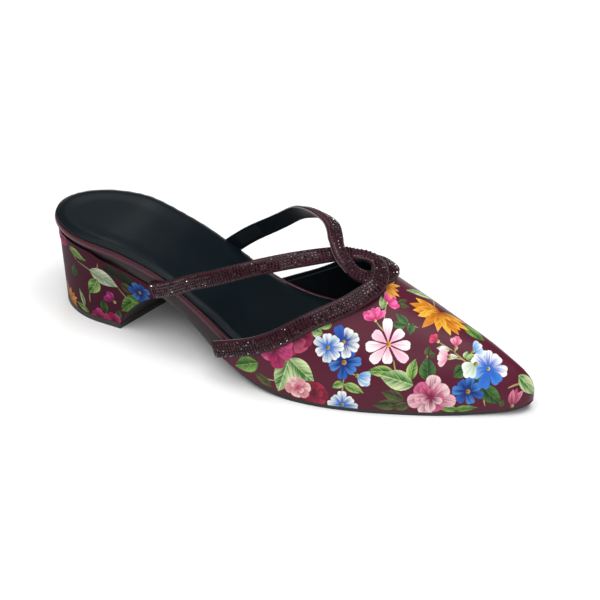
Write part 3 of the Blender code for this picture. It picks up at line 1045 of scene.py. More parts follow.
@dataclass(frozen=True)
class PetalForm:
    """Outline of a petal or leaf: where it is widest, how blunt it is and how deep its tip is notched."""

    peak: float
    blunt: float
    notch: float = 0.0

    def outline(self, steps: int) -> tuple[Array, Array]:
        """Return shares of the length and of the half width round the outline, from the root by one side.

        Args:
            steps: Steps along one side.

        Returns:
            Shares along and shares across.
        """
        share = (1 - np.cos(math.pi * np.arange(steps + 1) / steps)) / 2
        width = np.clip(np.sin(math.pi * share ** self.peak), 0, 1) ** self.blunt
        share = share * (1 - self.notch * (1 - width) * share ** 6)
        return np.concatenate([share, share[-2:0:-1]]), np.concatenate([-width, width[-2:0:-1]])


class Form(Enum):
    """The petals and leaves of the print."""

    ROUND = PetalForm(1.55, 0.62, 0.07)
    LONG = PetalForm(1.9, 0.8, 0.12)
    SPEAR = PetalForm(0.95, 0.95)
    HEART = PetalForm(1.8, 0.6, 0.13)
    LEAF = PetalForm(0.8, 0.9)
    DISC = PetalForm(1.0, 0.5)


# Width of a petal's streaks at its root, as a share of their width at the tip, and how fast they open
FAN_ROOT = 0.35
FAN_GROWTH = 1.4


@dataclass
class Stroke:
    """One painted shape, in the flat millimetres of its own motif."""

    base: Array
    heading: float
    length: float
    width: float
    form: Form
    root: str
    tip: str
    mark: Mark
    curve: float = 0.0
    steps: int = 9

    def axes(self) -> tuple[Array, Array]:
        """Return the directions along and across the shape."""
        along = np.array([math.cos(self.heading), math.sin(self.heading)])
        return along, np.array([-along[1], along[0]])

    def outline(self) -> Array:
        """Return the shape's outline.

        Returns:
            Rows of flat places.
        """
        share, side = self.form.value.outline(self.steps)
        along, across = self.axes()
        shift = side * self.width / 2 + self.curve * self.length * share * (share - 1)
        return self.base + np.outer(share * self.length, along) + np.outer(shift, across)

    def petal_place(self, flat: Array) -> Array:
        """Return shares along and across the shape at flat places.

        Args:
            flat: Flat places of the motif.

        Returns:
            Rows of the two shares.
        """
        along, across = self.axes()
        share = (flat - self.base) @ along / self.length
        side = (flat - self.base) @ across - self.curve * self.length * share * (share - 1)
        opened = FAN_ROOT + (1 - FAN_ROOT) * np.clip(FAN_GROWTH * share, 0, 1)
        fan = 1.0 if self.mark is Mark.LEAF else opened
        return np.stack([share, side / (self.width / 2) / fan], axis=1)


def disc(size: float, root: str, tip: str, steps: int = 9) -> Stroke:
    """Return a round spot of a radius in the middle of a flower."""
    base = np.array([-size, 0.0])
    return Stroke(base, 0.0, 2 * size, 2 * size, Form.DISC, root, tip, Mark.BLOOM, steps=steps)


@dataclass(frozen=True)
class Bloom:
    """A flower: rings of petals round a heart, sizes as shares of its radius."""

    rings: tuple[tuple[int, float], ...]
    form: Form
    width: float
    root: str
    tips: tuple[str, ...]
    heart: str
    heart_size: float = 0.13
    spread: float = 360.0
    squash: float = 1.0
    ragged: float = 0.1
    bed: float = 0.0
    sway: float = 7.0
    bow: float = 0.09
    heart_root: str = "#6b4418"
    heart_steps: int = 6

    def strokes(self, radius: float, turn: float) -> list[Stroke]:
        """Return the flower's shapes, the lowest first.

        Args:
            radius: Reach of the longest petals.
            turn: Way that the flower faces, in degrees.

        Returns:
            Its shapes.
        """
        made: list[Stroke] = []
        if self.bed:
            made.append(disc(radius * self.bed, self.root, self.root))
        # Sines of uneven steps keep the petals irregular without random draws
        for ring, (count, reach) in enumerate(self.rings):
            whole = self.spread >= 360
            for k in range(count):
                share = (k + 0.5 * ring) / count if whole else (k / max(count - 1, 1) - 0.5)
                aim = math.radians(turn + self.spread * share + self.sway * math.sin(5.1 * k + radius + ring))
                toward = np.array([math.cos(aim), self.squash * math.sin(aim)])
                vary = reach * (1 + self.ragged * math.sin(2.4 * k + turn + 2 * ring))
                made.append(Stroke(
                    np.zeros(2), math.atan2(toward[1], toward[0]), radius * vary * float(np.hypot(*toward)),
                    radius * self.width * reach, self.form, self.root, self.tips[(k + ring) % len(self.tips)],
                    Mark.BLOOM, self.bow * math.sin(1.7 * k + turn)))
        if self.heart_size:
            made.append(disc(radius * self.heart_size, self.heart_root, self.heart, self.heart_steps))
        return made


# Flowers: rings of petals with their reach, form and width of a petal, colours of root, tips and heart
BLOOMS = {
    "sunflower": Bloom(((11, 1.0), (9, 0.76), (6, 0.48)), Form.SPEAR, 0.3, "#9a4a0e",
        ("#f4bb3e", "#da8a22", "#eca836"), "#a8671c", 0.0, spread=206.0, squash=0.8),
    "daisy": Bloom(((8, 1.0),), Form.LONG, 0.43, "#eba9c0", ("#fffdf8", "#fbf0f0", "#fffdf8", "#f4d3de"),
        "#f0a62f", 0.11, ragged=0.16),
    "pale blossom": Bloom(((7, 1.0),), Form.HEART, 0.6, "#2a66ba", ("#f2f6ec", "#dbe8e4"), "#b9a334",
        0.13),
    "mixed blossom": Bloom(((7, 1.0),), Form.HEART, 0.6, "#173f92",
        ("#f2f6ec", "#e6efe8", "#f2f6ec", "#2b5db4", "#244f9f", "#3468bd", "#f2f6ec"),
        "#b9a334", 0.12),
    "blue blossom": Bloom(((7, 1.0),), Form.HEART, 0.56, "#10296e", ("#4a86d2", "#2f60b6"), "#c59a4a",
        0.15),
    "pansy": Bloom(((7, 1.0),), Form.HEART, 0.64, "#2a63c0",
        ("#fefaf6", "#fefaf6", "#fdf6f1", "#f6f4f6", "#8fbbea", "#3a78cf", "#4484d8"),
        "#e6cf6a", 0.09),
    "peony": Bloom(((7, 1.0), (5, 0.72), (3, 0.5)), Form.ROUND, 0.66, "#7e1a42",
        ("#f3cdd2", "#d0668c", "#ecb4c0"), "#c9566f", 0.0, squash=0.86, ragged=0.15, bed=0.74),
    "dusky rose": Bloom(((6, 1.0), (4, 0.66)), Form.ROUND, 0.9, "#541029", ("#b9506f", "#8c2c4a"),
        "#7a1a35", 0.0, ragged=0.15),
    "magenta peony": Bloom(((7, 1.0), (5, 0.7), (3, 0.42)), Form.ROUND, 0.72, "#6d0f36",
        ("#d2528a", "#a82a5e", "#c04276"), "#a02558", 0.0, ragged=0.14, bed=0.74),
    "blush": Bloom(((6, 1.0), (4, 0.6)), Form.ROUND, 0.85, "#b14766", ("#f2d0ca", "#dca0a2"), "#c9566f",
        0.0),
    "red rose": Bloom(((6, 1.0), (4, 0.62)), Form.ROUND, 0.9, "#560e24", ("#a62845", "#821b38"),
        "#7a1a35", 0.0),
    "carnation": Bloom(((7, 1.0), (5, 0.7)), Form.ROUND, 0.42, "#b5165e", ("#fb7fb2", "#e84f94"),
        "#f3e2bd", 0.1, spread=118.0),
    "marigold": Bloom(((6, 1.0), (4, 0.65)), Form.SPEAR, 0.32, "#a8560f", ("#f0b558", "#dc9336"),
        "#c98a2c", 0.1, spread=116.0),
    "pink bud": Bloom(((3, 1.0),), Form.LONG, 0.5, "#b83a66", ("#f0a9ba", "#d9718f"), "#d9c58a", 0.16,
        spread=44.0),
    "magenta bud": Bloom(((4, 1.0),), Form.LONG, 0.5, "#7d1650", ("#d0559a", "#b03080"), "#d9c58a", 0.16,
        spread=60.0),
    "red bud": Bloom(((3, 1.0),), Form.LONG, 0.55, "#a01f45", ("#e0476d", "#c93058"), "#e8d7a0", 0.18,
        spread=44.0),
    "white bud": Bloom(((4, 1.0),), Form.ROUND, 0.5, "#a9c0a0", ("#f6f7ee", "#e3efe8"), "#a9bd78", 0.16,
        spread=70.0),
    "rose white bud": Bloom(((4, 1.0),), Form.LONG, 0.46, "#d98aa5", ("#fbf3ee", "#f2c9d4"), "#d8cf9a",
        0.2, spread=76.0),
    "blue bud": Bloom(((4, 1.0),), Form.ROUND, 0.5, "#4d8ac9", ("#eaf2f0", "#b9d4ea"), "#a9bd78", 0.14,
        spread=66.0),
    "tulip": Bloom(((3, 1.0),), Form.SPEAR, 0.34, "#8f2a52", ("#d9849c", "#b95878"), "#a9bd78", 0.1,
        spread=30.0),
}

# Leaves: colour of the dark half and veins, colour of the light half
LEAVES = {
    "pale": ("#37702a", "#d6e4ae"),
    "fresh": ("#255a1c", "#b4d57c"),
    "green": ("#1d471a", "#86b455"),
    "dark": ("#16321a", "#4f7c3c"),
    "olive": ("#2c2a1c", "#5f6a3a"),
    "white": ("#7f9a68", "#eef0e0"),
    # Near-black leaves laid by the heel's front where its side falls into shade: painted shade in the print
    "shade": ("#1b1f16", "#333d28"),
}
STEM_COLOURS = ("#8f8a52", "#b3a372")

# Flowers of the vamp on its outer side, the way they lie: turn runs from the toe's side up to the crest
VAMP_BLOOMS = (
    ("kind", "station", "angle", "radius", "turn"),
    ("red rose", 158.5, 4.5, 7.0, 60), ("blush", 150.5, 5.5, 6.4, 20),
    ("dusky rose", 146.5, 30, 9.0, 200), ("magenta peony", 137.5, 20.5, 10.4, 250),
    ("pale blossom", 171.5, 0.5, 7.4, 90), ("blue blossom", 170, 27, 8.3, 15),
    ("mixed blossom", 167.8, 38.4, 7.9, -12), ("pale blossom", 161.8, 32, 7.4, 20),
    ("daisy", 186.5, 47, 11.4, 22), ("carnation", 177.8, 58.8, 6.6, 128), ("carnation", 179, 75, 6.2, 62),
    ("marigold", 175, 88, 7.5, 10), ("sunflower", 200.5, 97, 15.0, 281), ("peony", 209, 13.5, 11.4, 96),
    ("blue blossom", 224, 22.5, 7.6, 84), ("pansy", 230, 55.5, 9.2, 14), ("red bud", 206, 63.8, 4.6, 168),
    ("pink bud", 214.2, 64.5, 5.8, 112), ("rose white bud", 213, 53.2, 6.4, 190),
    ("blue bud", 221.4, 69, 5.6, 52), ("white bud", 224.5, 55, 7.4, 236),
    ("blue bud", 176.6, 21.2, 7.2, -14), ("tulip", 241.5, 2, 9.0, 76),
)

# Leaves of the vamp: from the root to the tip
VAMP_LEAVES = (
    ("kind", "station", "angle", "tip_station", "tip_angle", "width", "curve"),
    ("green", 130, 9, 118, 0.5, 8.6, 0.1), ("olive", 138, 1, 128, 4, 4.4, 0.0),
    ("pale", 145, 17.5, 141, 0, 9.5, -0.05), ("pale", 145.5, 19, 158, 11.5, 10.0, 0.1),
    ("fresh", 171.5, 15, 166.5, 10.5, 3.8, 0.1), ("fresh", 171.5, 14, 180.5, 10.5, 4.8, -0.1),
    ("fresh", 192.5, 28.5, 180.3, 25, 5.2, 0.2), ("pale", 201, 22, 186, 25, 9.2, 0.06),
    ("fresh", 199.5, 26, 199.5, 43, 5.2, -0.15), ("dark", 207, 28, 203.8, 47, 8.0, 0.0),
    ("olive", 203.8, 48, 203, 56, 3.4, 0.1), ("olive", 204.5, 49, 207, 52, 2.2, 0.1),
    ("olive", 198, 9, 188, 13, 5.4, 0.1), ("olive", 196, 4, 185, 2, 5.6, 0.1),
    ("olive", 201, 5, 193, 1, 4.4, 0.0), ("dark", 191.5, 66.5, 184.6, 70.5, 3.6, 0.1),
    ("dark", 191, 65, 184, 62, 3.4, -0.1), ("dark", 193, 69.5, 193.6, 59.5, 3.8, 0.1),
    ("pale", 178.6, 69, 175.4, 78, 3.0, 0.1), ("fresh", 178.8, 70, 178, 79, 2.4, -0.1),
    ("olive", 183, 80, 186, 88, 2.4, 0.1), ("olive", 184, 79, 188.5, 82, 2.2, 0.1),
    ("pale", 192.5, 118, 182.6, 98.5, 5.4, 0.06), ("green", 212, 100, 223.6, 92, 6.6, -0.08),
    ("dark", 221, 48, 217, 35, 6.0, 0.1), ("dark", 229.5, 32, 238.5, 8, 8.0, 0.06),
    ("dark", 226, 38, 231, 34, 5.0, 0.0), ("white", 212, 59.5, 206.4, 57.5, 2.8, 0.1),
    ("pale", 219, 57, 219.4, 66, 2.8, 0.15), ("fresh", 220.5, 56, 224.2, 66.5, 3.2, -0.15),
    ("white", 212, 53.6, 216.5, 56.4, 2.4, 0.1), ("pale", 241.5, 70, 248, 44, 7.6, 0.1),
    ("olive", 238.4, 2, 239, 15, 2.2, 0.1), ("green", 221, 0.5, 212.5, 3, 3.4, 0.1),
    ("green", 219, 0.5, 229, 3, 3.4, -0.1), ("olive", 229.4, 112, 231, 102, 2.0, 0.1),
    ("fresh", 161, 44, 154, 41, 4.4, 0.1), ("pale", 158, 38, 152.5, 36, 5.0, 0.1),
)

# Stems of the vamp: from end to end, bowed by a share of their length
VAMP_STEMS = (
    ("station", "angle", "tip_station", "tip_angle", "curve"),
    (179, 75, 181.2, 62, 0.08), (181.2, 62, 184.5, 58, -0.1), (177.8, 59, 184, 54, 0.1),
    (190.5, 38, 193, 28, 0.06), (206, 63.8, 213.5, 60.5, 0.06), (213.5, 60.5, 224, 50, 0.05),
    (214.2, 64.5, 214.4, 59.8, 0.1), (213, 53.2, 219, 55.2, -0.05), (221.6, 69, 220, 56, 0.1),
    (192.5, 119, 197, 101, 0.12), (171, 23, 177, 21, 0.1), (171.2, 20, 171.5, 3, 0.04),
    (230, 33, 232, 4, 0.1), (196, 68, 188, 66.5, 0.05), (131, 3, 140, 5, 0.15), (204, 45, 203.6, 52, 0.0),
    (243.5, 60, 240, 36, 0.1),
)

# Flowers of the vamp that the inner side alone has
FAR_BLOOMS = (
    ("kind", "station", "angle", "radius", "turn"),
    ("carnation", 206, 140, 6.5, 250), ("white bud", 190, 132, 6.0, 270), ("daisy", 222, 152, 7.5, 30),
    ("pink bud", 234, 148, 6.0, 200),
)

# Flowers, leaves and stems of the heel: girth is measured from the back line to the outer side
HEEL_BLOOMS = (
    ("kind", "girth", "height", "radius", "turn"),
    ("magenta peony", 18.5, 40, 6.0, 300), ("blue blossom", 67.6, 26.4, 6.6, 20),
    ("magenta bud", 51.5, 15.6, 6.4, 138), ("magenta peony", 41, 3.5, 5.2, 90),
    ("magenta peony", 49.5, 4, 5.4, 60), ("marigold", 19, 4.5, 8.5, 40), ("peony", -3, 19, 8.0, 30),
)
HEEL_LEAVES = (
    ("kind", "girth", "height", "tip_girth", "tip_height", "width", "curve"),
    ("fresh", 26.8, 38.8, 38, 35.2, 4.6, 0.1), ("white", 39.5, 30.8, 55, 25.6, 8.8, -0.08),
    ("fresh", 43.5, 26.4, 37, 16.4, 7.0, -0.1), ("dark", 44.6, 14.5, 45.6, 6.6, 4.2, 0.05),
    ("dark", 53.4, 11.5, 52, 3.8, 3.4, 0.05), ("green", 66, 22, 55, 11.5, 7.8, 0.08),
    # The two wide near-black shade leaves by the heel's front are painted shade
    ("green", 66, 20, 60, 22.5, 4.6, 0.1), ("shade", 56.5, 33.6, 66, 28.6, 8.4, 0.0),
    ("shade", 48, 36, 58.5, 31.6, 7.0, 0.0), ("olive", 57.5, 28.6, 64.5, 24.4, 5.0, 0.1),
    ("pale", 32.4, 6.5, 30, 16, 2.8, 0.15), ("fresh", 35, 4, 26.5, 6.5, 3.2, 0.1),
    ("dark", 26.6, 21.5, 28.8, 29.5, 4.2, 0.1), ("green", 12, 27, 3, 33, 5.0, 0.1),
    ("dark", 14, 12, 8, 7, 4.4, 0.1),
)
HEEL_STEMS = (
    ("girth", "height", "tip_girth", "tip_height", "curve"),
    (26.4, 38, 31, 32.5, -0.1), (31, 32.5, 42, 29.8, -0.1), (45.5, 37, 43, 29.8, -0.08),
    (37.4, 17, 36.6, 10.5, 0.1), (54.5, 26, 61, 19, 0.12), (30, 15, 33, 4.5, 0.1),
)


class Cloth:
    """A surface that takes the print; places on it are flat coordinates in millimetres."""

    ground = BURGUNDY
    # Share of the print's colours that is kept; below 1 they are darkened as painted shade
    tone = 1.0

    def spread(self, centre: Sequence[float], flat: Array) -> Array:
        """Return the chart places of a motif's flat millimetres round its centre."""
        raise NotImplementedError

    def skin(self, chart: Array) -> tuple[Array, Array]:
        """Return the points and outward normals of chart places."""
        raise NotImplementedError

    def border(self) -> Array:
        """Return the edge of the cloth as chart places, counter-clockwise."""
        raise NotImplementedError

    def filling(self) -> Array:
        """Return chart places inside the edge, close enough to follow the form."""
        raise NotImplementedError


@dataclass
class Print:
    """Lays painted shapes on a cloth and cuts its surface along their outlines."""

    cloth: Cloth
    strokes: list[Stroke] = field(default_factory=list)
    outlines: list[Array] = field(default_factory=list)
    probe: float = 0.5
    search_rounds: int = 5
    search_floor: float = 0.02
    leaf_steps: int = 11
    stem_steps: int = 8
    stem_width: float = 0.7
    join: float = 0.0001
    seed_step: float = 0.381
    seed_range: float = 0.99

    def lay(self, stroke: Stroke, centre: Sequence[float]) -> None:
        """Put a shape on the cloth with its motif's centre at a chart place."""
        self.strokes.append(stroke)
        self.outlines.append(self.cloth.spread(centre, stroke.outline()))

    def hem(self, outline: Array) -> None:
        """Leave a strip of the cloth plain."""
        self.strokes.append(Stroke(np.zeros(2), 0.0, 1.0, 1.0, Form.DISC, "#000000", "#000000", Mark.PLAIN))
        self.outlines.append(outline)

    def bloom(self, kind: str, centre: Sequence[float], radius: float, turn: float) -> None:
        """Lay a flower."""
        for stroke in BLOOMS[kind].strokes(radius, turn):
            self.lay(stroke, centre)

    def between(self, start: Array, end: Array) -> Array:
        """Return the flat step in millimetres from one chart place to another.

        Args:
            start: Chart place.
            end: Chart place.

        Returns:
            The step.
        """
        flat = np.asarray(end, float) - np.asarray(start, float)
        probes = np.array([[0.0, 0.0], [self.probe, 0.0], [0.0, self.probe]])
        for _ in range(self.search_rounds):
            found = self.cloth.spread(start, flat + probes)
            matrix = (found[1:] - found[0]).T / self.probe
            missing = np.asarray(end, float) - found[0]
            flat = flat + np.linalg.lstsq(matrix, missing, rcond=self.search_floor)[0]
        return flat

    def leaf(self, kind: str, start: Array, end: Array, width: float, curve: float) -> None:
        """Lay a leaf from its root to its tip, bowed by a share of its length."""
        self.sweep(start, end, width, Form.LEAF, *LEAVES[kind], Mark.LEAF, curve, self.leaf_steps)

    def stem(self, start: Array, end: Array, curve: float) -> None:
        """Lay a thin stem, bowed by a share of its length."""
        looks = Form.DISC, *STEM_COLOURS, Mark.BLOOM, curve, self.stem_steps
        self.sweep(start, end, self.stem_width, *looks)

    def sweep(self, start: Array, end: Array, *looks: object) -> None:
        """Lay a long shape between two chart places; its looks are a stroke's values from the width on."""
        flat = self.between(start, end)
        self.lay(Stroke(np.zeros(2), math.atan2(flat[1], flat[0]), float(np.hypot(*flat)), *looks), start)

    def piece(self, name: str) -> Piece:
        """Return the cloth's outer surface as a mesh with the print on its corners.

        Args:
            name: The piece's name.

        Returns:
            The new piece, an open sheet.
        """
        border, filling = self.cloth.border(), self.cloth.filling()
        rings = [border, *self.outlines]
        places = [Vector(p) for p in np.concatenate([*rings, filling])]
        ends = np.cumsum([0] + [len(r) for r in rings])
        rings_by_index = [list(range(a, b)) for a, b in zip(ends[:-1], ends[1:])]
        chart, _, faces, _, _, owners = delaunay_2d_cdt(places, [], rings_by_index, 1, self.join)
        kept = [(face, max(own)) for face, own in zip(faces, owners) if 0 in own and len(face) == 3]
        chart = np.array([tuple(p) for p in chart])
        corners = np.array([face for face, _ in kept])
        top = np.array([owner for _, owner in kept])
        used, corners = np.unique(corners, return_inverse=True)
        corners = corners.reshape(-1, 3)
        chart = chart[used]
        points, normals = self.cloth.skin(chart)
        mesh = bpy.data.meshes.new(name)
        mesh.from_pydata(to_frame(points).tolist(), [], corners.tolist())
        self._paint(mesh, chart, corners, top)
        mesh.attributes.new("skin_normal", "FLOAT_VECTOR", "POINT").data.foreach_set(
            "vector", normals.astype(np.float32).ravel())
        piece = bpy.data.objects.new(name, mesh)
        bpy.context.scene.collection.objects.link(piece)
        merge_doubles(piece)
        return piece

    def _paint(self, mesh: bpy.types.Mesh, chart: Array, corners: Array, top: Array) -> None:
        """Write the colours and petal places of each corner, and the cloth's own UV map.

        Args:
            mesh: The sheet.
            chart: Chart place of each vertex.
            corners: Vertices of each face.
            top: Number of the uppermost shape on each face.
        """
        count = len(corners) * 3
        flat = chart[corners.ravel()]
        root = np.tile(linear(self.cloth.ground), (count, 1))
        tip = root.copy()
        petal = np.zeros((count, 3))
        owner = np.repeat(top, 3)
        for k, (stroke, outline) in enumerate(zip(self.strokes, self.outlines)):
            mine = owner == k + 1
            if stroke.mark is Mark.PLAIN or not mine.any():
                continue
            middle = outline.mean(axis=0)
            terms = self._terms(outline - middle)
            fit = np.linalg.lstsq(terms, stroke.outline(), rcond=None)[0]
            petal[mine, :2] = stroke.petal_place(self._terms(flat[mine] - middle) @ fit)
            petal[mine, 2] = stroke.mark.value + (self.seed_step * k) % self.seed_range
            # Stroke colours darkened by the cloth's painted shade
            root[mine] = np.array(linear(stroke.root)) * self.cloth.tone
            tip[mine] = np.array(linear(stroke.tip)) * self.cloth.tone
        colour, vector = ("FLOAT_COLOR", "color"), ("FLOAT_VECTOR", "vector")
        layers = ("root", *colour, root), ("tip", *colour, tip), ("petal", *vector, petal)
        for name, kind, key, values in layers:
            mesh.attributes.new(name, kind, "CORNER").data.foreach_set(key, values.astype(np.float32).ravel())
        mesh.uv_layers.new(name="cloth").data.foreach_set("uv", flat.astype(np.float32).ravel())

    @staticmethod
    def _terms(flat: Array) -> Array:
        """Return the terms of a quadratic fit."""
        x, y = flat[:, 0], flat[:, 1]
        return np.stack([np.ones_like(x), x, y, x * x, x * y, y * y], axis=1)


def back_skin(piece: Piece, thickness: float) -> None:
    """Give a printed surface its thickness and shade it by the true normals of its form.

    Args:
        piece: The outer surface, with its normals kept in an attribute.
        thickness: Distance to the inner face in millimetres.
    """
    outer = len(piece.data.vertices)
    thicken(piece, thickness, -1.0)
    mesh = piece.data
    normals = np.zeros(len(mesh.vertices) * 3, np.float32)
    mesh.attributes["skin_normal"].data.foreach_get("vector", normals)
    normals = normals.reshape(-1, 3)
    places = vertices_of(piece)
    places[outer:] = places[:outer] - unit(normals[:outer]) * thickness * MM
    set_vertices(piece, places)
    normals[outer:] *= -1
    mesh.shade_smooth()
    mesh.normals_split_custom_set_from_vertices(unit(normals).tolist())
    mesh.attributes.remove(mesh.attributes["skin_normal"])


# Sub-assemblies

@dataclass
class VampCloth(Cloth):
    """Chart of the vamp: station against angle, with a degree drawn as DEGREE_MM."""

    out: float = VAMP_WALL
    walk_steps: int = 5
    hang: float = 1.0
    hang_start: float = 0.04
    steepest: float = 0.3
    first_station: float = 90.0
    last_station: float = LAST_LENGTH - 0.6
    side_slack: float = 0.6
    throat_steps: int = 150
    side_steps: int = 90
    side_packing: float = 1.3
    tip_steps: int = 25
    fill_stations: Three = (105.0, 248.5, 1.9)
    fill_angles: Three = (2.0, 179.0, 2.2)
    fill_margin: float = 0.9

    def spread(self, centre: Sequence[float], flat: Array) -> Array:
        """Walk from the centre over the last, so that a motif keeps its shape.

        Args:
            centre: Chart place.
            flat: Flat places.

        Returns:
            Chart places.
        """
        station = np.full(len(flat), float(centre[0]))
        angle = np.full(len(flat), math.radians(centre[1] / DEGREE_MM))
        for _ in range(self.walk_steps):
            ahead, around = SHOE.slopes(station, angle)
            first = unit(ahead)
            second = np.cross(unit(np.cross(ahead, around)), first)
            shift = (first * flat[:, :1] + second * flat[:, 1:]) / self.walk_steps
            along, turn = SHOE.move(station, angle, shift)
            station = np.clip(station + along, self.first_station, self.last_station)
            angle = np.clip(angle + turn, -self.side_slack, math.pi + self.side_slack)
        return np.stack([station, np.degrees(angle) * DEGREE_MM], axis=1)

    def skin(self, chart: Array) -> tuple[Array, Array]:
        """Return the outer face of the vamp."""
        station, angle = chart[:, 0], np.radians(chart[:, 1] / DEGREE_MM)
        return SHOE.skin(station, angle, self.out), SHOE.normal(station, angle)

    def border(self) -> Array:
        """Return the throat, the two feather edges and the tip.

        Returns:
            Chart places.
        """
        angle = np.linspace(180, 0, self.throat_steps)
        throat = np.stack([SHOE.throat(angle), angle], axis=1)
        run = 1 - (1 - np.linspace(0, 1, self.side_steps)) ** self.side_packing
        sides = []
        for start in (throat[-1, 0], throat[0, 0]):
            station = start + (LAST_LENGTH - start) * run
            _, _, _, _, feather, crest = SHOE.section(station)
            hang = np.degrees(np.arcsin(np.clip(self.hang / (crest - feather), 0, self.steepest)))
            sides.append((station, hang * smooth_step(0, self.hang_start, run)))
        (near_station, near_hang), (far_station, far_hang) = sides
        near = np.stack([near_station, -near_hang], axis=1)[1:]
        turns = np.linspace(-near_hang[-1], 180 + far_hang[-1], self.tip_steps)
        tip = np.stack([np.full(self.tip_steps, LAST_LENGTH), turns], axis=1)[1:]
        far = np.stack([far_station, 180 + far_hang], axis=1)[::-1][1:-1]
        edge = np.concatenate([throat, near, tip, far])
        return edge * np.array([1.0, DEGREE_MM])

    def filling(self) -> Array:
        """Return a grid of places inside the throat, the feather edges and the tip.

        Returns:
            Chart places.
        """
        station, angle = np.meshgrid(np.arange(*self.fill_stations), np.arange(*self.fill_angles))
        places = np.stack([station.ravel(), angle.ravel()], axis=1)
        inside = places[:, 0] > SHOE.throat(places[:, 1]) + self.fill_margin
        return places[inside] * np.array([1.0, DEGREE_MM])


@dataclass
class Vamp:
    """The upper: a printed satin skin over a black lining."""

    skin_thick: float = 0.95
    hem: float = 1.3
    hem_turn: Pair = (-4.0, 184.0)
    hem_steps: int = 120
    hem_reach: float = 4.0
    lining_out: float = 0.05
    lining_thick: float = 0.75
    rows: int = 60
    columns: int = 64
    packing: float = 1.5
    mirror_shift: float = -9.0
    mirror_limit: float = 48.0
    mirror_lower: float = 0.75
    cloth: VampCloth = field(default_factory=VampCloth)

    def draw(self) -> Print:
        """Return the print: stems first, then leaves and flowers, on both sides of the crest.

        Returns:
            The finished print.
        """
        drawing = Print(self.cloth)
        degree = np.array([1.0, DEGREE_MM])
        for mirrored in (True, False):
            def place(station: float, angle: float) -> Array:
                """Return a chart place on this side."""
                far = np.array([station + self.mirror_shift, 180 - self.mirror_lower * angle])
                return (far if mirrored else np.array([station, angle])) * degree

            def shown(angle: float) -> bool:
                """Tell whether a motif is repeated on this side."""
                return not mirrored or angle < self.mirror_limit

            sign = -1 if mirrored else 1
            for station, angle, tip_station, tip_angle, curve in VAMP_STEMS[1:]:
                if shown(angle):
                    drawing.stem(place(station, angle), place(tip_station, tip_angle), sign * curve)
            for kind, station, angle, tip_station, tip_angle, width, curve in VAMP_LEAVES[1:]:
                if shown(angle):
                    ends = place(station, angle), place(tip_station, tip_angle)
                    drawing.leaf(kind, *ends, width, sign * curve)
            for kind, station, angle, radius, turn in VAMP_BLOOMS[1:]:
                if shown(angle):
                    drawing.bloom(kind, place(station, angle), radius, sign * turn)
        for kind, station, angle, radius, turn in FAR_BLOOMS[1:]:
            drawing.bloom(kind, np.array([station, angle]) * degree, radius, turn)
        angle = np.linspace(*self.hem_turn, self.hem_steps)
        throat = np.stack([SHOE.throat(np.clip(angle, 0, 180)), angle], axis=1)
        inner, outer = throat - np.array([self.hem_reach, 0.0]), throat + np.array([self.hem, 0.0])
        drawing.hem(np.concatenate([outer, inner[::-1]]) * degree)
        return drawing

    def build(self, satin: Material, lining: Material) -> None:
        """Build the skin and the lining.

        Args:
            satin: Finish of the skin.
            lining: Finish of the inside.
        """
        skin = self.draw().piece("vamp_skin")
        count = len(skin.data.polygons)
        back_skin(skin, self.skin_thick)
        for face in skin.data.polygons:
            face.material_index = int(face.index >= count)
        settle(skin, [satin, lining], "vamp_satin", "vamp")

        def place(along: Array, across: Array) -> Array:
            """Return a point on the inner face of the lining."""
            station = LAST_LENGTH - (LAST_LENGTH - SHOE.throat(across * 180)) * (1 - along) ** self.packing
            return SHOE.skin(station, np.radians(across * 180), self.lining_out)

        inner = shaped_grid("vamp_lining", self.rows, self.columns, place)
        thicken(inner, self.lining_thick, 1.0)
        shade_smooth(inner, SOFT_ANGLE)
        settle(inner, [lining], "vamp_satin")


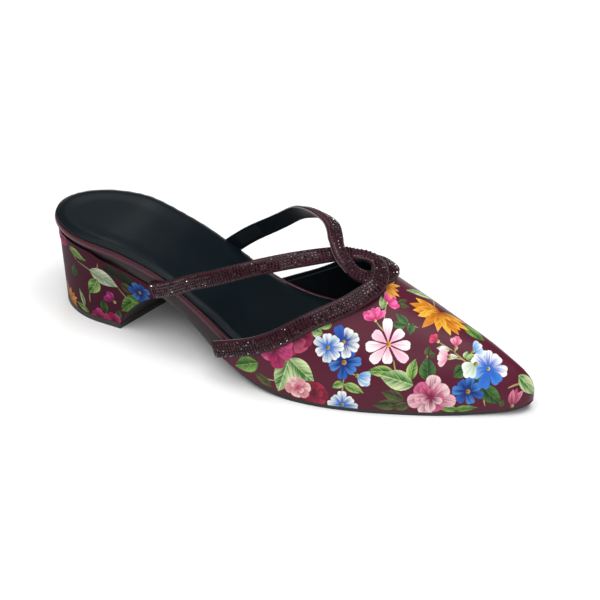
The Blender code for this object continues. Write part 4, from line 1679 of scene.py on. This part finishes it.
@dataclass
class HeelCloth(Cloth):
    """Chart of the heel's side: girth from the back line against height; the outer side is positive.

    The back, half width and depth of the heel's rounded end are given at its foot and at its seat.
    """

    out: float = 0.3
    foot: float = 3.0 + GAP
    back: Pair = (5.6, 3.0)
    half: Pair = (22.8, 24.4)
    arc: Pair = (29.0, 35.0)
    breast_foot: float = 46.5
    breast_run: float = 25.5
    breast_curve: float = 0.45
    breast_slant: float = 0.28
    cover_low: float = 3.1
    cover_rise: float = 2.3
    cover_ends: Pair = (30.0, 40.0)
    cover_flare: float = 0.45
    flare_ends: Pair = (-1.5, 0.6)
    side_lean: float = -0.06
    usual_height: float = 33.0
    settle_rounds: int = 4
    arc_steps: int = 48
    side_steps: int = 34
    foot_steps: int = 90
    top_steps: int = 120
    fill_girths: Three = (-86.0, 78.0, 1.8)
    fill_heights: Three = (4.6, 40.0, 2.0)
    front_margin: float = 3.5
    top_margin: float = 1.0
    # The heel's ground and print are darkened as painted shade
    ground = SHADED_HEEL_BURGUNDY
    tone = 0.62

    def sizes(self, rise: Array) -> tuple[Array, ...]:
        """Return the back, half width and depth of the rounded back at each rise."""
        return tuple(foot + (seat - foot) * rise for foot, seat in (self.back, self.half, self.arc))

    def front(self, rise: Array, outer: bool) -> Array:
        """Return x of the breast's edge on one side.

        Args:
            rise: Shares of the heel's height.
            outer: Whether it is the outer side.

        Returns:
            The edge's x.
        """
        breast = self.breast_foot + self.breast_run * (
            (1 - self.breast_curve) * rise + self.breast_curve * rise ** 2)
        return breast if outer else breast + 2 * self.breast_slant * self.sizes(rise)[1]

    def top(self, x: Array) -> Array:
        """Return the height of the cover's upper edge: it climbs over the sole's edge at the back."""
        rise = self.cover_low + self.cover_rise * (1 - smooth_step(*self.cover_ends, x))
        return SHOE.over_ground(x, -GAP) + rise

    def plan(self, girth: Array, rise: Array) -> tuple[Array, Array, Array, Array]:
        """Return x, y and the outward direction in the plan at each girth and rise.

        Args:
            girth: Millimetres from the back line.
            rise: Shares of the height.

        Returns:
            The four rows.
        """
        back, half, arc = self.sizes(rise)
        turns = np.linspace(0, math.pi / 2, self.arc_steps)
        steps = np.hypot(np.outer(arc, np.sin(turns)), np.outer(half, np.cos(turns)))
        lengths = np.concatenate([np.zeros((len(girth), 1)), np.cumsum(
            (steps[:, 1:] + steps[:, :-1]) / 2 * np.diff(turns), axis=1)], axis=1)
        reach = np.abs(girth)
        turn = np.array([np.interp(r, row, turns) for r, row in zip(reach, lengths)])
        straight = np.maximum(reach - lengths[:, -1], 0)
        side = np.where(girth >= 0, -1.0, 1.0)
        x = back + arc * (1 - np.cos(turn)) + straight
        out_x, out_y = -np.cos(turn) * half, np.sin(turn) * arc
        size = np.hypot(out_x, out_y)
        return x, side * half * np.sin(turn), out_x / size, side * out_y / size

    def girth(self, x: Array, rise: Array) -> Array:
        """Return the girth from the back line to x at each rise.

        Args:
            x: Places along the foot.
            rise: Shares of the height.

        Returns:
            Millimetres from the back line.
        """
        back, half, arc = self.sizes(rise)
        turn = np.arccos(np.clip(1 - (x - back) / arc, 0, 1))
        turns = np.outer(turn, np.linspace(0, 1, self.arc_steps))
        steps = np.hypot(arc[:, None] * np.sin(turns), half[:, None] * np.cos(turns))
        length = np.mean((steps[:, 1:] + steps[:, :-1]) / 2, axis=1) * turn
        return length + np.maximum(x - back - arc, 0)

    def spread(self, centre: Sequence[float], flat: Array) -> Array:
        """Add flat millimetres, as the cover unrolls flat."""
        return np.asarray(centre, float) + flat

    def skin(self, chart: Array) -> tuple[Array, Array]:
        """Return the outer face of the cover.

        Args:
            chart: Chart places.

        Returns:
            Points and outward normals.
        """
        girth, height = chart[:, 0], chart[:, 1]
        rise = (height - self.foot) / self.usual_height
        for _ in range(self.settle_rounds):
            x = self.plan(girth, rise)[0]
            rise = np.clip((height - self.foot) / (SHOE.over_ground(x, -GAP) - self.foot), 0, 1)
        x, y, out_x, out_y = self.plan(girth, rise)
        normals = unit(np.stack([out_x, out_y, np.full_like(x, self.side_lean)], axis=1))
        over = smooth_step(*self.flare_ends, height - SHOE.over_ground(x, -GAP))
        out = self.out + self.cover_flare * over
        return np.stack([x, y, height], axis=1) + normals * out[:, None], normals

    def border(self) -> Array:
        """Return the foot, the two breast edges and the top.

        Returns:
            Chart places.
        """
        rise = np.linspace(0, 1, self.side_steps)
        edges = []
        for outer in (True, False):
            x = self.front(rise, outer)
            height = self.foot + (SHOE.over_ground(x, -GAP) - self.foot) * rise
            sign = 1 if outer else -1
            edges.append(np.stack([sign * self.girth(x, rise), height], axis=1))
        near, far = edges
        girth = np.linspace(far[0, 0], near[0, 0], self.foot_steps)
        foot = np.stack([girth, np.full(self.foot_steps, self.foot)], axis=1)
        girth = np.linspace(near[-1, 0], far[-1, 0], self.top_steps)
        x = self.plan(girth, np.ones(self.top_steps))[0]
        top = np.stack([girth, self.top(x)], axis=1)
        return np.concatenate([foot[:-1], near[:-1], top[:-1], far[::-1][:-1]])

    def filling(self) -> Array:
        """Return a grid of places inside the edges.

        Returns:
            Chart places.
        """
        grid = np.meshgrid(np.arange(*self.fill_girths), np.arange(*self.fill_heights))
        girth, height = (part.ravel() for part in grid)
        rise = np.clip((height - self.foot) / self.usual_height, 0, 1)
        x = self.plan(girth, rise)[0]
        front = np.where(girth > 0, self.front(rise, True), self.front(rise, False))
        inside = (x < front - self.front_margin) & (height < self.top(x) - self.top_margin)
        return np.stack([girth, height], axis=1)[inside]


@dataclass
class Heel:
    """The covered block heel with its top lift."""

    cover_thick: float = 0.28
    lift_thick: float = 3.0
    lift_round: float = 0.5
    lift_margin: float = 0.2
    lift_rows: int = 48
    lift_columns: int = 16
    lift_packing: float = 1.6
    mirror_shift: float = -6.0
    mirror_start: float = 10.0
    cloth: HeelCloth = field(default_factory=HeelCloth)

    def draw(self) -> Print:
        """Return the print, repeated on the inner side.

        Returns:
            The finished print.
        """
        drawing = Print(self.cloth)
        for sign in (-1, 1):
            shift = self.mirror_shift if sign < 0 else 0.0

            def place(girth: float, height: float) -> Array:
                """Return a chart place on this side."""
                return np.array([sign * girth + shift, height])

            for girth, height, tip_girth, tip_height, curve in HEEL_STEMS[1:]:
                drawing.stem(place(girth, height), place(tip_girth, tip_height), sign * curve)
            for kind, girth, height, tip_girth, tip_height, width, curve in HEEL_LEAVES[1:]:
                drawing.leaf(kind, place(girth, height), place(tip_girth, tip_height), width, sign * curve)
            for kind, girth, height, radius, turn in HEEL_BLOOMS[1:]:
                if sign < 0 and girth < self.mirror_start:
                    continue
                drawing.bloom(kind, place(girth, height), radius, turn if sign > 0 else 180 - turn)
        return drawing

    def build(self, satin: Material, breast: Material, rubber: Material) -> None:
        """Build the cover and the top lift, and dress the block itself.

        Args:
            satin: Finish of the cover.
            breast: Finish of the front.
            rubber: Finish of the lift.
        """
        cover = self.draw().piece("heel_cover")
        back_skin(cover, self.cover_thick)
        settle(cover, [satin], "heel_satin")
        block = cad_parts["heel"]
        block.data.materials.clear()
        block.data.materials.append(breast)
        cloth = self.cloth

        def lift_point(along: Array, across: Array) -> Array:
            """Return a point on the lower face of the top lift.

            Args:
                along: Shares of the length.
                across: Shares of the width.

            Returns:
                Points of the shoe.
            """
            side = 2 * across - 1
            half = cloth.half[0] + self.lift_margin
            back = cloth.back[0] - self.lift_margin
            length = cloth.breast_foot + cloth.breast_slant * half * (1 + side) - back
            depth = length * along ** self.lift_packing
            bend = np.sqrt(np.clip(1 - (1 - np.minimum(depth / cloth.arc[0], 1)) ** 2, 0, 1))
            return np.stack([back + depth, half * bend * side, np.zeros_like(depth)], axis=1)

        lift = shaped_grid("top_lift_rubber", self.lift_rows, self.lift_columns, lift_point)
        thicken(lift, self.lift_thick)
        round_edges(lift, self.lift_round)
        shade_smooth(lift)
        settle(lift, [rubber], "lift_rubber", "top_lift")


@dataclass
class Sole:
    """Outsole, wrapped board with its binding, and padded insole."""

    rows: int = 170
    columns: int = 26
    edge_round: float = 0.45
    board_round: float = 0.7
    binding_half: float = 0.8
    binding_rise: float = 1.6
    binding_drop: float = 1.5
    binding_inset: float = 0.45
    far_lip: float = 0.5
    far_rise: float = 1.0
    far_ends: Pair = (86.0, 104.0)
    far_side: Pair = (0.0, 8.0)
    ring_steps: int = 256
    ring_around: int = 16
    lip_square: float = 0.8
    insole_edge: float = 4.5
    insole_roll: float = 1.5
    pad_edge: Pair = (4.0, 12.0)
    pad_dip: float = 0.5
    pad_fade: float = 0.75
    fade_ends: Pair = (95.0, 150.0)
    pad_columns: int = 44
    pad_overlap: float = 0.1
    pad_round: float = 0.35
    rim_steps: int = 700
    heel_tuck: float = 0.1
    heel_ends: Pair = (36.0, 50.0)
    board_taper: float = 0.075
    taper_ends: Pair = (34.0, 62.0)
    vamp_tuck: float = 1.0
    vamp_ends: Pair = (100.0, 112.0)

    def layer(self, name: str, edge: Outline, height: float) -> Piece:
        """Return the lower face of a sole layer as a fine sheet.

        Args:
            name: The piece's name.
            edge: The layer's plan.
            height: Height over the underside.

        Returns:
            The new sheet.
        """
        def place(along: Array, across: Array) -> Array:
            """Return a point of the sheet."""
            x, near, far = edge.edges(edge.stations(along))
            return SHOE.layer(x, near + (far - near) * across, height)

        return shaped_grid(name, self.rows, self.columns, place)

    def build_outsole(self, rubber: Material) -> None:
        """Build the outsole; its end under the heel draws in behind the heel's cover.

        Args:
            rubber: Its finish.
        """
        def place(along: Array, across: Array) -> Array:
            """Return a point of the lower face.

            Args:
                along: Shares of the length.
                across: Shares of the width.

            Returns:
                Points of the shoe.
            """
            x, near, far = OUTSOLE_EDGE.edges(OUTSOLE_EDGE.stations(along))
            tuck = 1 - self.heel_tuck * (1 - smooth_step(*self.heel_ends, x))
            x = HEEL_ARC + (x - HEEL_ARC) * np.where(x < HEEL_ARC, tuck, 1.0)
            inset = np.minimum(self.vamp_tuck * smooth_step(*self.vamp_ends, x), (far - near) / 2)
            x = x - self.vamp_tuck * smooth_step(TOE_START, OUTSOLE_TIP, x)
            near, far = near + inset, far - inset
            return SHOE.layer(x, (near + (far - near) * across) * tuck, 0.0)

        outsole = shaped_grid("outsole_sheet", self.rows, self.columns, place)
        thicken(outsole, OUTSOLE_THICK)
        round_edges(outsole, self.edge_round)
        shade_smooth(outsole)
        settle(outsole, [rubber], "outsole_rubber", "outsole")

    def build_board(self, wrap: Material, binding: Material) -> None:
        """Build the wrapped board and the binding on its upper edge.

        Args:
            wrap: Finish of the board.
            binding: Finish of its edge.
        """
        board = self.layer("board_wrap", MIDSOLE_EDGE, OUTSOLE_THICK + GAP)
        count = len(board.data.vertices)
        thicken(board, MIDSOLE_THICK)
        places = vertices_of(board)
        low = places[count:] / MM - OFFSET
        taper = self.board_taper * (1 - smooth_step(*self.taper_ends, low[:, 0]))
        low[:, 0] += (HEEL_ARC - np.minimum(low[:, 0], HEEL_ARC)) * taper
        low[:, 1] *= 1 - taper
        places[count:] = to_frame(low)
        set_vertices(board, places)
        round_edges(board, self.board_round)
        shade_smooth(board)
        settle(board, [wrap], "wrap_satin", "midsole")
        plan = MIDSOLE_EDGE.ring(self.ring_steps)
        ahead = unit(np.roll(plan, -1, axis=0) - np.roll(plan, 1, axis=0))
        outward = np.stack([-ahead[:, 1], ahead[:, 0]], axis=1)
        if np.sum(outward[:, 1] * plan[:, 1]) < 0:
            outward = -outward
        shown = smooth_step(*self.far_ends, plan[:, 0]) * smooth_step(*self.far_side, plan[:, 1])
        middle = OUTSOLE_THICK + GAP + MIDSOLE_THICK - self.binding_drop

        def place(step: Array, angle: Array) -> Array:
            """Return a point on the binding's rounded lip.

            Args:
                step: Steps round the edge.
                angle: Angles round the lip.

            Returns:
                Points of the shoe.
            """
            lip = self.far_lip * shown[step]
            side = np.cos(angle)
            wide = np.sign(side) * np.abs(side) ** self.lip_square * (self.binding_half + lip)
            flat = plan[step] + outward[step] * (wide - self.binding_inset - lip)[:, None]
            rise = middle + self.binding_rise * np.sin(angle) + self.far_rise * shown[step]
            return SHOE.layer(flat[:, 0], flat[:, 1], rise)

        lip = shaped_ring("binding", self.ring_steps, self.ring_around, place)
        shade_smooth(lip, ALL_SOFT)
        settle(lip, [binding], "wrap_satin")

    def build_insole(self, leather: Material) -> None:
        """Build the padded insole: a rolled edge, a soft ridge and a dished middle.

        Args:
            leather: Its finish.
        """
        rim = INSOLE_EDGE.ring(self.rim_steps)
        tree = KDTree(len(rim))
        for k, spot in enumerate(rim):
            tree.insert((spot[0], spot[1], 0.0), k)
        tree.balance()
        base = OUTSOLE_THICK + MIDSOLE_THICK + 2 * GAP

        def place(along: Array, across: Array) -> Array:
            """Return a point on the upper face.

            Args:
                along: Shares of the length.
                across: Shares of the width.

            Returns:
                Points of the shoe.
            """
            x, near, far = INSOLE_EDGE.edges(INSOLE_EDGE.stations(along))
            y = near + (far - near) * across
            inside = np.array([tree.find((a, b, 0.0))[2] for a, b in zip(x, y)])
            roll = np.clip(1 - inside / self.insole_edge, 0, 1) ** 2 * self.insole_roll
            dip = self.pad_dip * smooth_step(*self.pad_edge, inside)
            fade = 1 - self.pad_fade * smooth_step(*self.fade_ends, x)
            return SHOE.layer(x, y, base + INSOLE_THICK - roll - dip * fade)

        insole = shaped_grid("insole_pad", self.rows, self.pad_columns, place)
        count = len(insole.data.vertices)
        thick = INSOLE_THICK - self.insole_roll + self.pad_overlap
        thicken(insole, thick, -1.0)
        places = vertices_of(insole)
        lean = SHOE.lean(places[:count, 0] / MM - OFFSET[0])
        square = np.stack([-np.sin(lean), np.zeros(count), np.cos(lean)], axis=1)
        places[count:] = places[:count] - square * thick * MM
        set_vertices(insole, places)
        round_edges(insole, self.pad_round)
        shade_smooth(insole, SOFT_ANGLE)
        settle(insole, [leather], "sock_leather", "insole")


@dataclass
class Strap:
    """A lined satin band with rows of stones on its rounded face."""

    name: str
    table: Table
    base: float = 0.6
    crown: float = 1.6
    tuck: float = 0.2
    side_power: float = 0.6
    crown_power: float = 0.75
    tuck_power: float = 0.35
    lining_thick: float = 0.7
    lining_over: float = 0.03
    edge_shade: float = -0.25
    highlight_span: Pair = (0.68, 1.0)
    lining_rows: int = 100
    lining_columns: int = 6
    rows: int = 101
    around: int = 28
    lattice_reach: float = 0.62
    seam_start: float = 0.12
    seam_width: float = 0.76
    seam_height: float = -0.3
    seam_thick: float = 0.35
    seam_round: float = 0.1
    seam_rows: int = 14
    seam_columns: int = 8
    stone_rows: tuple[float, ...] = (0.15, 0.325, 0.5, 0.675, 0.85)
    first_row_start: float = 0.0
    stone_pitch: float = 1.5
    stone_radius: float = 0.56
    stone_height: float = 0.4
    stone_sink: float = 0.08
    stone_sides: int = 8
    stone_table: float = 0.62
    stone_bevel: Pair = (0.2, 0.22)
    face_up: float = 0.9
    reach: float = 0.3
    full_width: float = 8.2
    flash_share: float = 0.05
    end_margin: float = 1.4
    tilt: float = 0.07
    seed: int = 7

    def __post_init__(self) -> None:
        """Lay the middle line through the table."""
        station, angle = column(self.table, "station"), column(self.table, "angle")
        steps = np.hypot(np.diff(station), np.diff(angle) * DEGREE_MM)
        length = np.concatenate(([0.0], np.cumsum(steps)))
        self.total = float(length[-1])
        self.station_at = Curve(length, station, Bend.FAIR)
        self.angle_at = Curve(length, np.radians(angle), Bend.FAIR)
        self.lift_at, self.width_at = (
            Curve(length, column(self.table, name), Bend.HELD) for name in ("lift", "width"))

    def point(self, along: Array, across: Array, height: Array | float) -> Array:
        """Return points of the band.

        Args:
            along: Shares of the strap's length.
            across: Shares of its width.
            height: Millimetres over its inner face.

        Returns:
            Points of the shoe.
        """
        place = np.asarray(along, float) * self.total
        station, angle = self.station_at(place), self.angle_at(place)
        ahead, around = SHOE.slopes(station, angle)
        normal = unit(np.cross(ahead, around))
        low, high = np.maximum(place - SLOPE_REACH, 0), np.minimum(place + SLOPE_REACH, self.total)
        heading = ahead * (self.station_at(high) - self.station_at(low))[:, None]
        heading = heading + around * (self.angle_at(high) - self.angle_at(low))[:, None]
        sideways = np.cross(normal, unit(heading)) * ((across - 0.5) * self.width_at(place))[:, None]
        shift, turn = SHOE.move(station, angle, sideways)
        station, angle = station + shift, angle + turn
        ahead, around = SHOE.slopes(station, angle)
        clear = VAMP_WALL + GAP + self.lift_at(place) + height
        return SHOE.point(station, angle) + unit(np.cross(ahead, around)) * clear[:, None]

    def section(self, angle: Array, radius: Array) -> tuple[Array, Array]:
        """Return the share across and the height at an angle round the band's section.

        Args:
            angle: Angles round the band.
            radius: Shares of the way out.

        Returns:
            Shares of the width and heights.
        """
        side, up = np.cos(angle), np.sin(angle)
        across = 0.5 + 0.5 * np.sign(side) * np.abs(side) ** self.side_power * radius
        over, under = self.crown * np.abs(up) ** self.crown_power, self.tuck * np.abs(up) ** self.tuck_power
        height = np.where(up >= 0, over, -under)
        return across, self.base + height * radius

    def dome(self, across: Array) -> Array:
        """Return the height of the rounded face at each share of the width."""
        side = np.abs(2 * across - 1) ** (1 / self.side_power)
        return self.base + self.crown * np.sqrt(np.clip(1 - side ** 2, 0, 1)) ** self.crown_power

    def build_band(self, satin: Material, lattice: Material) -> None:
        """Build the rounded satin band, with a lighter net under the stones.

        Args:
            satin: Finish of the sides.
            lattice: Finish under the stones.
        """
        def place(along: Array, angle: Array, radius: Array) -> Array:
            """Return a point of the band's surface."""
            across, height = self.section(angle, radius)
            return self.point(along, across, height)

        band, angle = shaped_tube(f"{self.name}_band", self.rows, self.around, place)
        shade_smooth(band, SOFT_ANGLE)
        under_stones = (np.sin(angle) > 0) & (np.abs(np.cos(angle)) < self.lattice_reach)
        for face in band.data.polygons:
            face.material_index = int(under_stones[list(face.vertices)].all())
        settle(band, [satin, lattice], "beaded_strap", self.name)

    def build_lining(self, lining: Material, edge_highlight: Material) -> None:
        """Build the lining strip, a little wider than the band, with a stretch of its cut edge drawn grey as
        a painted highlight.

        Args:
            lining: Finish of the strip.
            edge_highlight: Finish of its cut edge.
        """
        def place(along: Array, across: Array) -> Array:
            """Return a point of the strip's inner face."""
            wide = across * (1 + 2 * self.lining_over) - self.lining_over
            return self.point(along, wide, 0.0)

        strip = shaped_grid(f"{self.name}_lining", self.lining_rows, self.lining_columns, place)
        thicken(strip, self.lining_thick)
        count = 2 * self.lining_rows * self.lining_columns
        start, end = (share * self.lining_rows for share in self.highlight_span)
        # The grey painted highlight goes on one edge within the span only, and not on faces that face down,
        # which stay dark as painted shade
        for face in strip.data.polygons:
            column_number, step = divmod(min(face.vertices), self.lining_rows + 1)
            shown = column_number == 0 and start <= step <= end and face.normal.z > self.edge_shade
            face.material_index = int(face.index >= count and shown)
        shade_smooth(strip)
        settle(strip, [lining, edge_highlight], "beaded_strap")

    def build_seam(self, patch: Material, start: float, end: float) -> None:
        """Build the small patch where the lining is joined, between two lengths along the strap.

        Args:
            patch: Its finish.
            start: First length.
            end: Second length.
        """
        def place(along: Array, across: Array) -> Array:
            """Return a point of the patch on the lining's inner face."""
            share = (start + (end - start) * along) / self.total
            return self.point(share, self.seam_start + self.seam_width * across, self.seam_height)

        seam = shaped_grid(f"{self.name}_seam", self.seam_rows, self.seam_columns, place)
        thicken(seam, self.seam_thick)
        round_edges(seam, self.seam_round, 2)
        shade_smooth(seam)
        settle(seam, [patch], "beaded_strap")

    def stone(self) -> tuple[Array, list[list[int]]]:
        """Model one faceted stone, 1 high over a girdle of radius 1, and return its points and faces.

        Returns:
            Points, and the corners of each face.
        """
        start_fresh()
        bpy.ops.mesh.primitive_cone_add(
            vertices=self.stone_sides, radius1=1.0, radius2=self.stone_table, depth=1.0, location=(0, 0, 0.5))
        piece = bpy.context.object
        bpy.ops.object.transform_apply(location=True, rotation=True, scale=True)
        for face in piece.data.polygons:
            face.select = face.normal.z > self.face_up
        bpy.ops.object.mode_set(mode="EDIT")
        bpy.ops.mesh.select_mode(type="FACE")
        bpy.ops.mesh.inset(thickness=self.stone_bevel[0], depth=self.stone_bevel[1])
        bpy.ops.object.mode_set(mode="OBJECT")
        points = vertices_of(piece)
        faces = [list(face.vertices) for face in piece.data.polygons]
        bpy.data.objects.remove(piece, do_unlink=True)
        return points, faces

    def build_stones(self, glass: Material, flash: Material) -> None:
        """Set the stones in rows, each tilted a little, as one mesh with a few facets picked at random as
        painted glints.

        Args:
            glass: Finish of the stones.
            flash: Finish of the bright facets.
        """
        points, faces = self.stone()
        count = int((self.total - 2 * self.end_margin) / self.stone_pitch)
        marks = np.linspace(self.end_margin, self.total - self.end_margin, count) / self.total
        along = np.concatenate([marks] * len(self.stone_rows))
        across = np.repeat(self.stone_rows, count)
        kept = (across > self.stone_rows[0]) | (along >= self.first_row_start)
        along, across = along[kept], across[kept]
        height = self.dome(across) - self.stone_sink
        centre = self.point(along, across, height)
        ahead = unit(self.point(along + self.reach / self.total, across, height) - centre)
        beside = across + self.reach / self.width_at(along * self.total)
        sideways = unit(self.point(along, beside, self.dome(beside) - self.stone_sink) - centre)
        up = unit(np.cross(ahead, sideways))
        draws = np.random.default_rng(self.seed)
        lean_ahead, lean_aside = (draws.normal(0, self.tilt, (len(up), 1)) for _ in range(2))
        up = unit(up + (ahead * lean_ahead + sideways * lean_aside))
        sideways = unit(np.cross(up, ahead))
        ahead = np.cross(sideways, up)
        share = self.width_at(along * self.total) / self.full_width
        size = np.array([self.stone_radius, self.stone_radius, self.stone_height])
        scaled = points[None, :, :] * size * share[:, None, None]
        everything = (
            centre[:, None, :] + scaled[..., :1] * ahead[:, None, :]
            + scaled[..., 1:2] * sideways[:, None, :] + scaled[..., 2:] * up[:, None, :])
        mesh = bpy.data.meshes.new(f"{self.name}_stones")
        rings = [[index + k * len(points) for index in face] for k in range(len(centre)) for face in faces]
        mesh.from_pydata(to_frame(everything.reshape(-1, 3)).tolist(), [], rings)
        stones = bpy.data.objects.new(mesh.name, mesh)
        bpy.context.scene.collection.objects.link(stones)
        face_out(stones)
        # Facets picked at random take the bright metal: painted glints
        slim = np.array([len(ring) == 4 for ring in rings])
        bright = slim & (draws.random(len(rings)) < self.flash_share)
        stones.data.polygons.foreach_set("material_index", bright.astype(np.int32))
        settle(stones, [glass, flash], "beaded_strap")


# Lights: an area lamp's size is in metres and the sun's is its angle; each is aimed at the shoe
LIGHTS = (
    ("name", "kind", "place", "size", "power"),
    ("sky", "SUN", (-0.1, -0.3, 1.2), math.radians(70), 2.4),
    ("back", "AREA", (-0.45, 0.75, 0.98), 0.35, 1.6),
    ("top", "AREA", (0.35, 0.1, 1.1), 0.5, 3.0),
    ("front", "AREA", (0.55, -0.75, 0.6), 0.4, 1.6),
)


@dataclass
class Studio:
    """Pale floor, soft light and the camera of the photograph's view."""

    azimuth: float = 25.69
    elevation: float = 34.54
    roll: float = 1.07
    distance: float = 0.96067
    lens: float = 120.04
    sensor: float = 36.0
    floor_size: float = 6.0
    room_light: float = 0.22
    target: Three = (0.00637, 0.00232, 0.02853)

    def build(self) -> None:
        """Set up the floor, the lights, the world and the camera."""
        self.build_floor()
        self.build_lights()
        self.build_camera()

    def build_floor(self) -> None:
        """Lay a wide pale floor."""
        start_fresh()
        bpy.ops.mesh.primitive_plane_add(size=self.floor_size)
        floor = name_piece("floor")
        floor.data.materials.append(STUDIO_PAPER.material())

    def build_lights(self) -> None:
        """Hang soft lights round the shoe and light the room evenly."""
        for name, kind, place, size, power in LIGHTS[1:]:
            start_fresh()
            bpy.ops.object.light_add(type=kind, location=place)
            lamp = bpy.context.object
            lamp.name = f"light_{name}"
            lamp.data.energy = power
            if kind == "SUN":
                lamp.data.angle = size
            else:
                lamp.data.size = size
            aim = Vector(self.target) - Vector(place)
            lamp.rotation_euler = aim.to_track_quat("-Z", "Y").to_euler()
        world = bpy.data.worlds.new("even room light")
        world.use_nodes = True
        background = world.node_tree.nodes["Background"].inputs
        background["Color"].default_value = (1, 1, 1, 1)
        background["Strength"].default_value = self.room_light
        bpy.context.scene.world = world

    def build_camera(self) -> None:
        """Place the camera by its angles round the target."""
        turn, lift, roll = (math.radians(v) for v in (self.azimuth, self.elevation, self.roll))
        back = Vector((math.sin(turn) * math.cos(lift), -math.cos(turn) * math.cos(lift), math.sin(lift)))
        right = Vector((math.cos(turn), math.sin(turn), 0.0))
        up = back.cross(right)
        first = right * math.cos(roll) + up * math.sin(roll)
        second = up * math.cos(roll) - right * math.sin(roll)
        data = bpy.data.cameras.new("camera")
        data.lens = self.lens
        data.sensor_width = self.sensor
        camera = bpy.data.objects.new("camera", data)
        bpy.context.scene.collection.objects.link(camera)
        place = Matrix((first, second, back)).transposed().to_4x4()
        place.translation = Vector(self.target) + back * self.distance
        camera.matrix_world = place
        bpy.context.scene.camera = camera


def main() -> None:
    """Build the shoe's looks piece by piece."""
    logging.basicConfig(level=logging.INFO, format="%(name)s %(relativeCreated)d ms %(message)s")
    Studio().build()
    bpy.context.scene.view_settings.view_transform = "Standard"
    black = LINING_LEATHER.material()
    sole = Sole()
    sole.build_outsole(SHEET_RUBBER.material())
    sole.build_board(WRAP_SATIN.material(), BINDING_SATIN.material())
    sole.build_insole(SOCK_LEATHER.material())
    Heel().build(SHADED_HEEL_SATIN.material(), SHADED_BREAST_SATIN.material(), LIFT_RUBBER.material())
    Vamp().build(VAMP_SATIN.material(), black)
    near = Strap("strap_near", STRAP_NEAR)
    far = Strap(
        "strap_far", STRAP_FAR, stone_rows=FAR_ROWS, first_row_start=FAR_ROW_START, highlight_span=FAR_EDGE_HIGHLIGHT)
    cut_edge_highlight, band, net = CUT_EDGE_HIGHLIGHT.material(), STRAP_SATIN.material(), STONE_NET.material()
    glass, glint_metal = STONE_GLASS.material(), STONE_GLINT_METAL.material()
    for strap in (near, far):
        strap.build_lining(black, cut_edge_highlight)
        strap.build_band(band, net)
        strap.build_stones(glass, glint_metal)
    far.build_seam(PATCH_LEATHER.material(), *FAR_SEAM)


if __name__ == "__main__":
    main()
